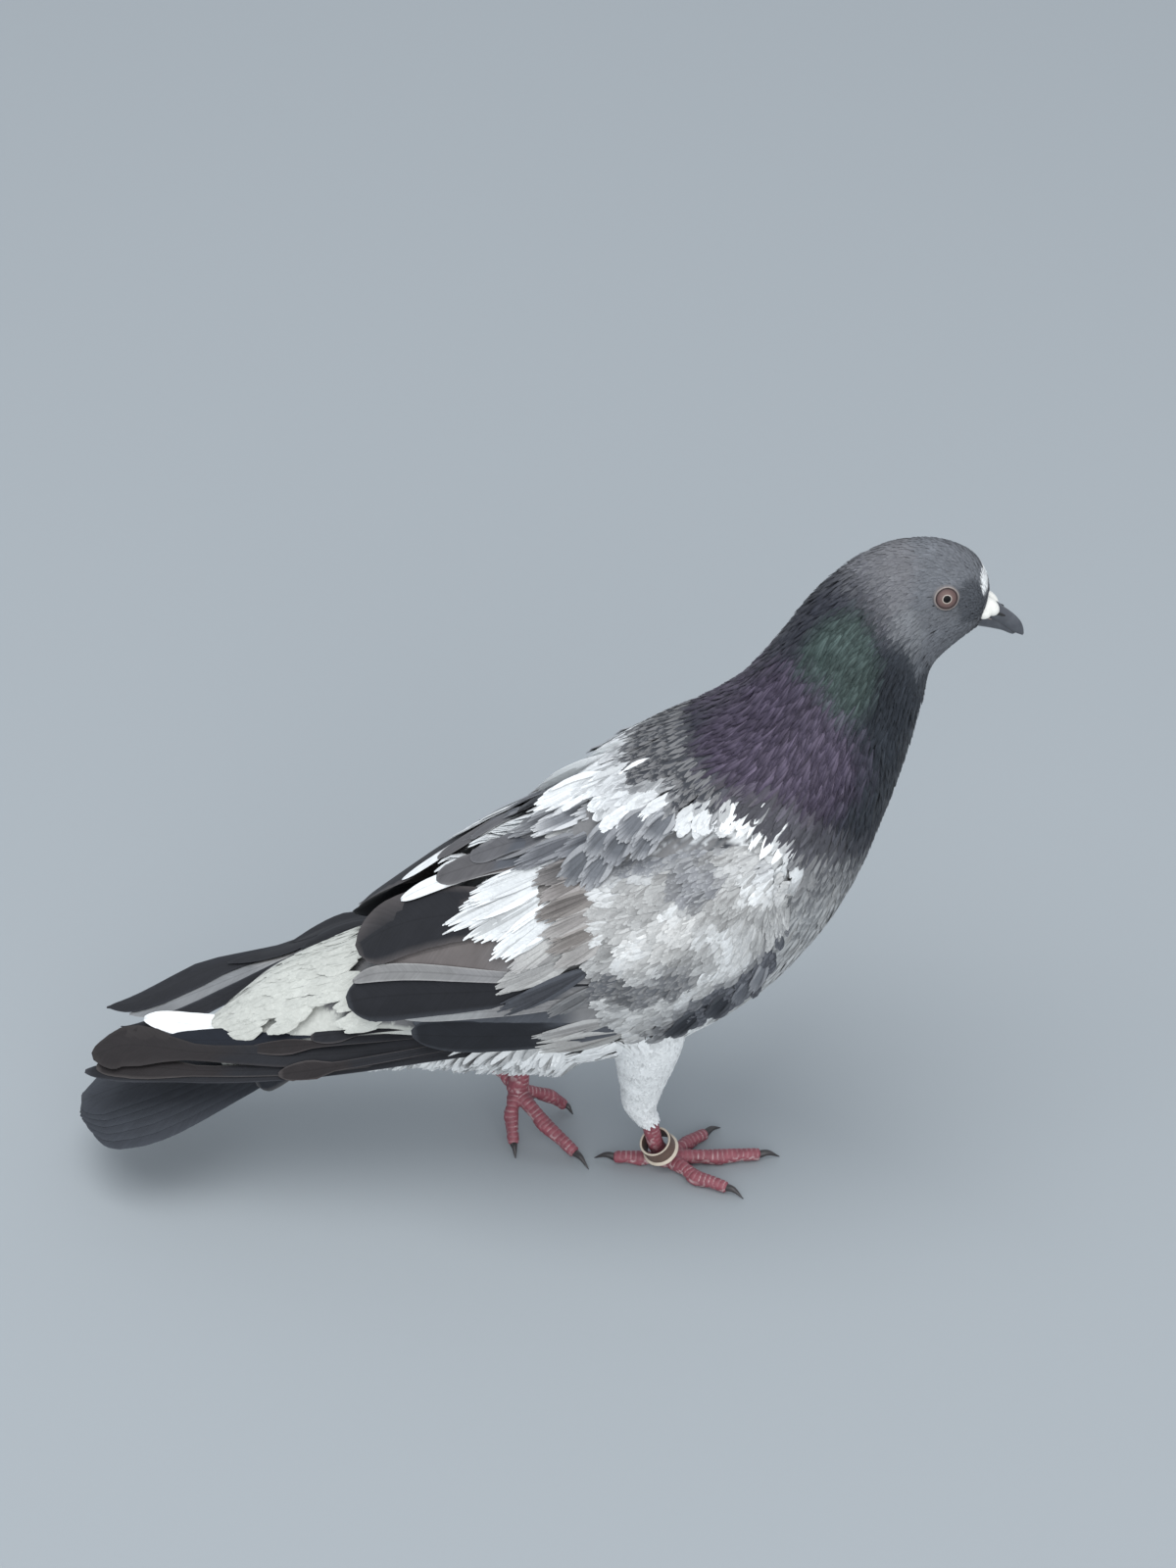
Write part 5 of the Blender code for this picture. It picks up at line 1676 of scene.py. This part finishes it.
def scale_feet(mesh, lines):
    """Raises scales across the front of a foot's skin and small ones at its sides, and marks their edges."""
    points = place_points(mesh)
    normals = np.zeros(len(mesh.vertices) * 3, np.float32)
    mesh.vertex_normals.foreach_get("vector", normals)
    best = np.full(len(points), 1e9)
    along, front = np.zeros(len(points)), np.zeros(len(points))
    for number, line in enumerate(lines):
        gaps = np.linalg.norm(points[:, None] - line, axis=-1)
        near = gaps.argmin(1)
        closer = gaps.min(1) < best
        outward = unit(points - line[near])
        face = outward @ unit(np.array((1.0, -0.1, 0.25))) if number == 0 else outward[:, 2]
        offset = np.sum((points - line[near]) * unit(np.gradient(line, axis=0))[near], -1)
        best = np.where(closer, gaps.min(1), best)
        along = np.where(closer, run_along(line)[near] + offset + TOE_SHIFT * number, along)
        front = np.where(closer, face, front)
    shield = smoothly(front, 0.1, 0.5)
    ridge = np.abs(np.sin(np.pi * (along + 0.5 * mottle(points, 2.5, 8)) / SCUTE)) ** 0.5
    relief = shield * ridge + (1 - shield) * smoothly(mottle(points, 0.9, 9), 0.25, 0.6)
    points = points + normals.reshape(-1, 3).astype(float) * (SCUTE_HEIGHT * (relief - 0.6))[:, None]
    move_points(mesh, points)
    flake = smoothly(mottle(points, 2.2, 10), 0.35, 0.75)
    store_values(mesh, "edge", fading(relief, 0.2, 0.75) * (0.35 + 0.65 * flake))


RING_BASE = np.array((-5.4, -9.3, 8.0))
RING_AXIS = (-0.35, -0.31, 0.88)
FLANGE_TOP, RIM_FOOT = 1.2, 6.45
RING_PROFILE = (
    (4.85, 0.25), (5.0, 0.05), (6.15, 0.0), (6.35, 0.2), (6.35, 0.65), (6.15, 0.85), (5.8, 0.95), (5.6, 1.3),
    (5.6, 6.1), (5.55, 6.5), (5.4, 6.62), (4.95, 6.62), (4.82, 6.5), (4.8, 6.1),
)
BAND_BASE = np.array((-53.1, 13.0, 30.0))
BAND_AXIS = (0.08, 0.07, 1.0)
BAND_PROFILE = (
    (4.1, 0.1), (4.75, 0.0), (4.85, 0.15), (4.85, 5.85), (4.75, 6.0), (4.1, 6.0), (4.0, 5.85), (4.0, 0.2),
)


def build_rings(wall_finish, rim_finish, band_finish):
    """The leg ring with its paler flange and rim, and the plain band on the other leg."""
    mesh = mesh_from(loft(turned_rings(RING_PROFILE, RING_BASE, RING_AXIS, 64), closed=True), "ring_turned")
    ring = finished("ring_turned", mesh, wall_finish)
    mesh.materials.append(rim_finish)
    axis = unit(np.array(RING_AXIS))
    for face in mesh.polygons:
        height = (np.array(face.center) / MM - SHIFT - RING_BASE) @ axis
        face.material_index = int(height < FLANGE_TOP or height > RIM_FOOT)
    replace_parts(ring, "leg_ring")
    mesh = mesh_from(loft(turned_rings(BAND_PROFILE, BAND_BASE, BAND_AXIS, 64), closed=True), "band_turned")
    band = finished("band_turned", mesh, band_finish)
    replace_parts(band, "leg_band")


# ---------------------------------------------------------------- stage


CAMERA_PLACE = np.array((-30.57, -975.12, 893.02))
CAMERA_TILT = math.radians(53.0)
CAMERA_LENS = 87.19


def build_stage():
    """A plain pale floor, soft light and the camera."""
    bm = bmesh.new()
    bmesh.ops.create_grid(bm, x_segments=1, y_segments=1, size=4.0)
    mesh = bpy.data.meshes.new("floor")
    bm.to_mesh(mesh)
    bm.free()
    maker = Maker("floor", Roughness=0.85)
    maker.feed(Base_Color=(*srgb(146, 152, 156), 1.0))
    mesh.materials.append(maker.material)
    floor = bpy.data.objects.new("floor", mesh)
    bpy.context.scene.collection.objects.link(floor)
    for name, place, size, power in (
        ("key", (-0.4, -0.6, 2.8), 2.2, 62.0),
        ("fill", (0.4, -2.4, 0.7), 2.2, 42.0),
    ):
        light = bpy.data.lights.new(name, "AREA")
        light.size = size
        light.energy = power
        lamp = bpy.data.objects.new(name, light)
        bpy.context.scene.collection.objects.link(lamp)
        lamp.location = place
        lamp.rotation_euler = (Vector((0, 0, 0.1)) - Vector(place)).to_track_quat("-Z", "Y").to_euler()
    world = bpy.data.worlds.new("soft_sky")
    bpy.context.scene.world = world
    world.use_nodes = True
    world.node_tree.nodes["Background"].inputs["Color"].default_value = (0.86, 0.92, 1.0, 1.0)
    world.node_tree.nodes["Background"].inputs["Strength"].default_value = 0.84
    lens = bpy.data.cameras.new("camera")
    lens.sensor_width = 36.0
    lens.lens = CAMERA_LENS
    camera = bpy.data.objects.new("camera", lens)
    bpy.context.scene.collection.objects.link(camera)
    camera.location = Vector((CAMERA_PLACE + SHIFT) * MM)
    camera.rotation_euler = (CAMERA_TILT, 0.0, 0.0)
    bpy.context.scene.camera = camera
    bpy.context.scene.view_settings.view_transform = "Standard"


# ---------------------------------------------------------------- making it


build_stage()
feather = feather_material("feather")
quill = feather_material("quill", barb_gap=0.06, streak=0.2, shaft=(0.035, 0.75))
iris = eye_material()
horn = plain_material("bill_horn", srgb(82, 85, 91), srgb(46, 48, 54), 0.0025, 0.38, Coat_Weight=0.15)
chalk = plain_material("cere_chalk", srgb(236, 236, 230), srgb(208, 206, 200), 0.0015, 0.9, relief=0.00012)
gape = plain_material("gape_skin", srgb(150, 138, 134), srgb(96, 90, 90), 0.0008, 0.7)
# Near-black for the nostril slits, painted shade of their openings.
slit_shade_paint = plain_material("nostril_painted_shade", srgb(30, 30, 32), srgb(16, 16, 18), 0.001, 0.8)
claw_horn = plain_material("claw_horn", srgb(66, 62, 62), srgb(34, 32, 34), 0.002, 0.4)
ring_wall = plain_material("ring_wall", srgb(104, 84, 74), srgb(70, 55, 48), 0.003, 0.45)
ring_rim = plain_material("ring_rim", srgb(206, 196, 180), srgb(170, 158, 142), 0.003, 0.5)
band_blue = plain_material("band_blue", srgb(62, 84, 138), srgb(40, 56, 100), 0.003, 0.4)
skin_finish = skin_material()
build_skin(skin_finish)
build_head(feather)
build_neck(feather)
build_trunk(feather)
round_tips = {"widest": 0.78, "root": 0.42, "point": 0.2, "start": 0.6}
long_tips = {"widest": 0.64, "root": 0.7, "point": 0.08, "start": 0.52, "blunt": 0.85}
for side, name, stations, table, blade, tip_shape in (
    (-1, "right", THIGH_RIGHT, PRIMARY_QUILLS_RIGHT, PRIMARIES_RIGHT, round_tips),
    (1, "left", THIGH_LEFT, PRIMARY_QUILLS_LEFT, PRIMARIES_LEFT, long_tips),
):
    build_coverts(side, feather)
    build_quills(
        f"secondaries_{name}", wing_surface(side), body_middle, SECONDARIES, quill, "flight_feathers",
        widest=0.75, root=0.35, point=0.2,
    )
    build_quills(
        f"primary_feathers_{name}", blade_surface(blade), above(side), table, quill, "flight_feathers",
        (f"primaries_{name}",), edge_width=0.1, edge=0.35, **tip_shape,
    )
    build_thigh(side, stations, feather)
    build_eye(side, iris, skin_finish)
build_quills(
    "tail_quills", tail_surface, above(0), tail_table(), quill, "tail_feathers", ("tail",), widest=0.88,
    root=0.35, point=0.3, edge_width=0.1,
)
build_bill(horn, chalk, slit_shade_paint, gape)
scales = foot_material()
build_foot("right", TARSUS_RIGHT, TOES_RIGHT, scales, claw_horn)
build_foot("left", TARSUS_LEFT, TOES_LEFT, scales, claw_horn)
build_rings(ring_wall, ring_rim, band_blue)
